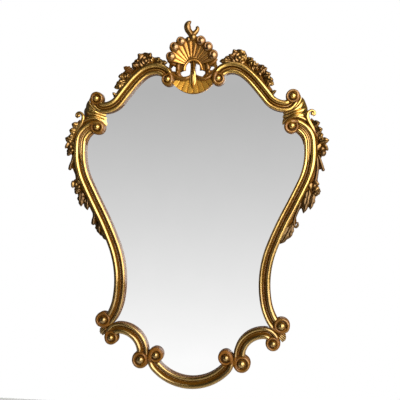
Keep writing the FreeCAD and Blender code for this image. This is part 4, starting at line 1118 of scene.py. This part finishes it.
def metalMaterial(name, bright, dull, rough):
    material, surface, place = freshMaterial(name)
    worn = addNode(material.node_tree, "ShaderNodeGroup", node_tree=handledMetal)
    feed(worn, {"Place": place, "Bright": bright, "Dull": dull, "Rough": rough})
    made = worn.outputs
    feed(surface, {"Metallic": 1.0, "Base Color": made["Color"], "Roughness": made["Rough"],
                   "Normal": bump(made["Height"], 0.15, 0.0002)})
    return material


def glassMaterial():
    material, surface, place = freshMaterial("silveredGlass")
    haze = noise(place, 14.0)
    tint = blend(span(haze, 0.3, 0.7), (0.956, 0.957, 0.956), (0.966, 0.966, 0.965))
    feed(surface, {"Metallic": 1.0, "Base Color": tint, "Roughness": span(haze, 0.3, 0.8, 0.006, 0.016)})
    return material


def boardMaterial():
    material, surface, place = freshMaterial("backingBoard")
    strand = noise(stretched(place, 500.0, 500.0, 60.0), 1.0, 4.0, 0.65)
    tone = plus(times(strand, 0.6), times(noise(place, 9.0), 0.4))
    colour = blend(span(tone, 0.35, 0.65), (0.16, 0.085, 0.038), (0.30, 0.18, 0.09))
    feed(surface, {"Base Color": colour, "Roughness": span(strand, 0.3, 0.7, 0.7, 0.88),
                   "Normal": bump(strand, 0.3, 0.0004)})
    return material


def speckMaterial(name, first, second, scale, rough):
    material, surface, place = freshMaterial(name)
    speck = noise(place, scale, 4.0, 0.6)
    feed(surface, {"Base Color": blend(span(speck, 0.35, 0.65), first, second),
                   "Roughness": span(speck, 0.3, 0.7, rough - 0.08, rough + 0.08),
                   "Normal": bump(speck, 0.25, 0.0003)})
    return material


brass = metalMaterial("brass", (0.72, 0.50, 0.20), (0.36, 0.23, 0.08), 0.32)
steel = metalMaterial("zincSteel", (0.62, 0.63, 0.62), (0.38, 0.38, 0.37), 0.36)
finishes = {
    "mirror_glass": glassMaterial(), "backing_board": boardMaterial(),
    "wall_bumpers": speckMaterial("feltRubber", (0.035, 0.033, 0.032), (0.07, 0.066, 0.062), 600.0, 0.8),
    "frame_dowels": speckMaterial("beechDowel", (0.42, 0.27, 0.14), (0.52, 0.36, 0.2), 180.0, 0.6),
    "finial_pin": steel, "button_screws": steel, "hanger_screws": steel,
    "hanger_strap": brass, "hanger_ring": brass,
    "top_turn_button": brass, "middle_turn_button": brass, "lower_turn_button": brass,
}
for name, obj in frame["nodes"].items():
    base = name.removesuffix("_right").removesuffix("_left")
    if base in finishes:
        obj.data.materials.clear()
        obj.data.materials.append(finishes[base])
print("finishes ready")

# stage: pale floor well below the mirror, soft lamps, and a light world
stageShape = {"floor": -0.9, "wide": 1.7, "deep": 0.85, "colour": (0.82, 0.82, 0.81), "rough": 0.8}
corners = [(x * stageShape["wide"], y * stageShape["deep"], stageShape["floor"])
           for x, y in ((-1, -1), (1, -1), (1, 1), (-1, 1))]
floor = sceneObject("paleFloor", plainMesh(corners, [(0, 1, 2, 3)]))
floorMaterial, surface = freshMaterial("paleFloor")[:2]
feed(surface, {"Base Color": stageShape["colour"], "Roughness": stageShape["rough"]})
floor.data.materials.append(floorMaterial)

lamps = {   # place, aim, width, height, power and colour
    "nearBox": ((0.76, -2.45, 0.3), (0, 0, 0), 0.9, 2.0, 52.0, (1, 1, 1)),
    "rightBox": ((1.9, -1.5, 0.6), (0, 0, 0), 3.0, 2.5, 205.0, (1.0, 0.98, 0.94)),
    "leftBox": ((-2.2, -1.2, 0.3), (0, 0, -0.1), 0.8, 1.6, 4.0, (1, 1, 1)),
    "topBox": ((0.5, -1.2, 2.2), (0, 0, -0.1), 1.6, 0.8, 14.0, (1, 1, 1)),
    "lowBox": ((1.15, -1.9, -1.25), (0, 0, 0.1), 1.6, 0.9, 24.0, (1, 1, 1)),
    "backBox": ((0.4, 2.4, 1.2), (0, 0, -0.1), 1.4, 1.4, 30.0, (1, 1, 1)),
}
for name, (place, aim, width, height, power, colour) in lamps.items():
    lamp = bpy.data.lights.new(name, "AREA")
    lamp.shape = "RECTANGLE"
    lamp.size, lamp.size_y = width, height
    lamp.energy, lamp.color = power, colour
    obj = sceneObject(name, lamp)
    obj.location = place
    obj.rotation_euler = (Vector(aim) - Vector(place)).to_track_quat("-Z", "Y").to_euler()

worldShape = {"ahead": (-0.142, -0.989, -0.035), "cone": (0.955, 0.973), "heights": (0.167, -0.239),
              "power": 1.2, "top": 0.48, "gain": 0.525, "dusk": 0.07}


def paleWorld():
    # white behind the mirror; what the glass and the gilding reflect grows paler downwards
    w = worldShape
    world = bpy.data.worlds.new("paleWorld")
    bpy.context.scene.world = world
    world.use_nodes = True
    tree = world.node_tree
    tree.nodes.clear()
    way = addNode(tree, "ShaderNodeTexCoord").outputs["Generated"]
    height = addNode(tree, "ShaderNodeSeparateXYZ", {0: way}).outputs[2]
    fall = sums("POWER", span(height, *w["heights"], kind="LINEAR"), w["power"])
    grade = plus(times(fall, w["gain"]), w["top"])
    ahead = addNode(tree, "ShaderNodeVectorMath", {0: way, 1: w["ahead"]}, operation="DOT_PRODUCT")
    front = span(ahead.outputs["Value"], *w["cone"])
    glow = plus(w["dusk"], times(front, less(grade, w["dusk"])))
    ray = addNode(tree, "ShaderNodeLightPath").outputs
    shown = sums("MAXIMUM", ray["Is Camera Ray"], ray["Is Transmission Ray"])
    light = addNode(tree, "ShaderNodeBackground", {"Color": sums("MAXIMUM", shown, glow), "Strength": 1.0})
    addNode(tree, "ShaderNodeOutputWorld", {0: light.outputs[0]})


def photoCamera():
    c = cameraPlace
    yaw, roll = radians(c["yaw"]), radians(c["roll"])
    right, up = Vector((cos(yaw), sin(yaw), 0)), Vector((0, 0, 1))
    away = Vector((sin(yaw), -cos(yaw), 0))
    across, rise = right * cos(roll) + up * sin(roll), up * cos(roll) - right * sin(roll)
    lens = bpy.data.cameras.new("photoCamera")
    lens.lens, lens.sensor_width = c["lens"], c["sensor"]
    lens.clip_end = c["far"]
    obj = sceneObject("photoCamera", lens)
    turn = Matrix((across, rise, away)).transposed().to_4x4()
    aim = Vector((c["aimX"] * mm, 0, glassMiddle * mm))
    obj.matrix_world = Matrix.Translation(aim + away * c["distance"] * mm) @ turn
    bpy.context.scene.camera = obj


paleWorld()
photoCamera()
bpy.context.scene.view_settings.view_transform = "Standard"
print("stage ready")
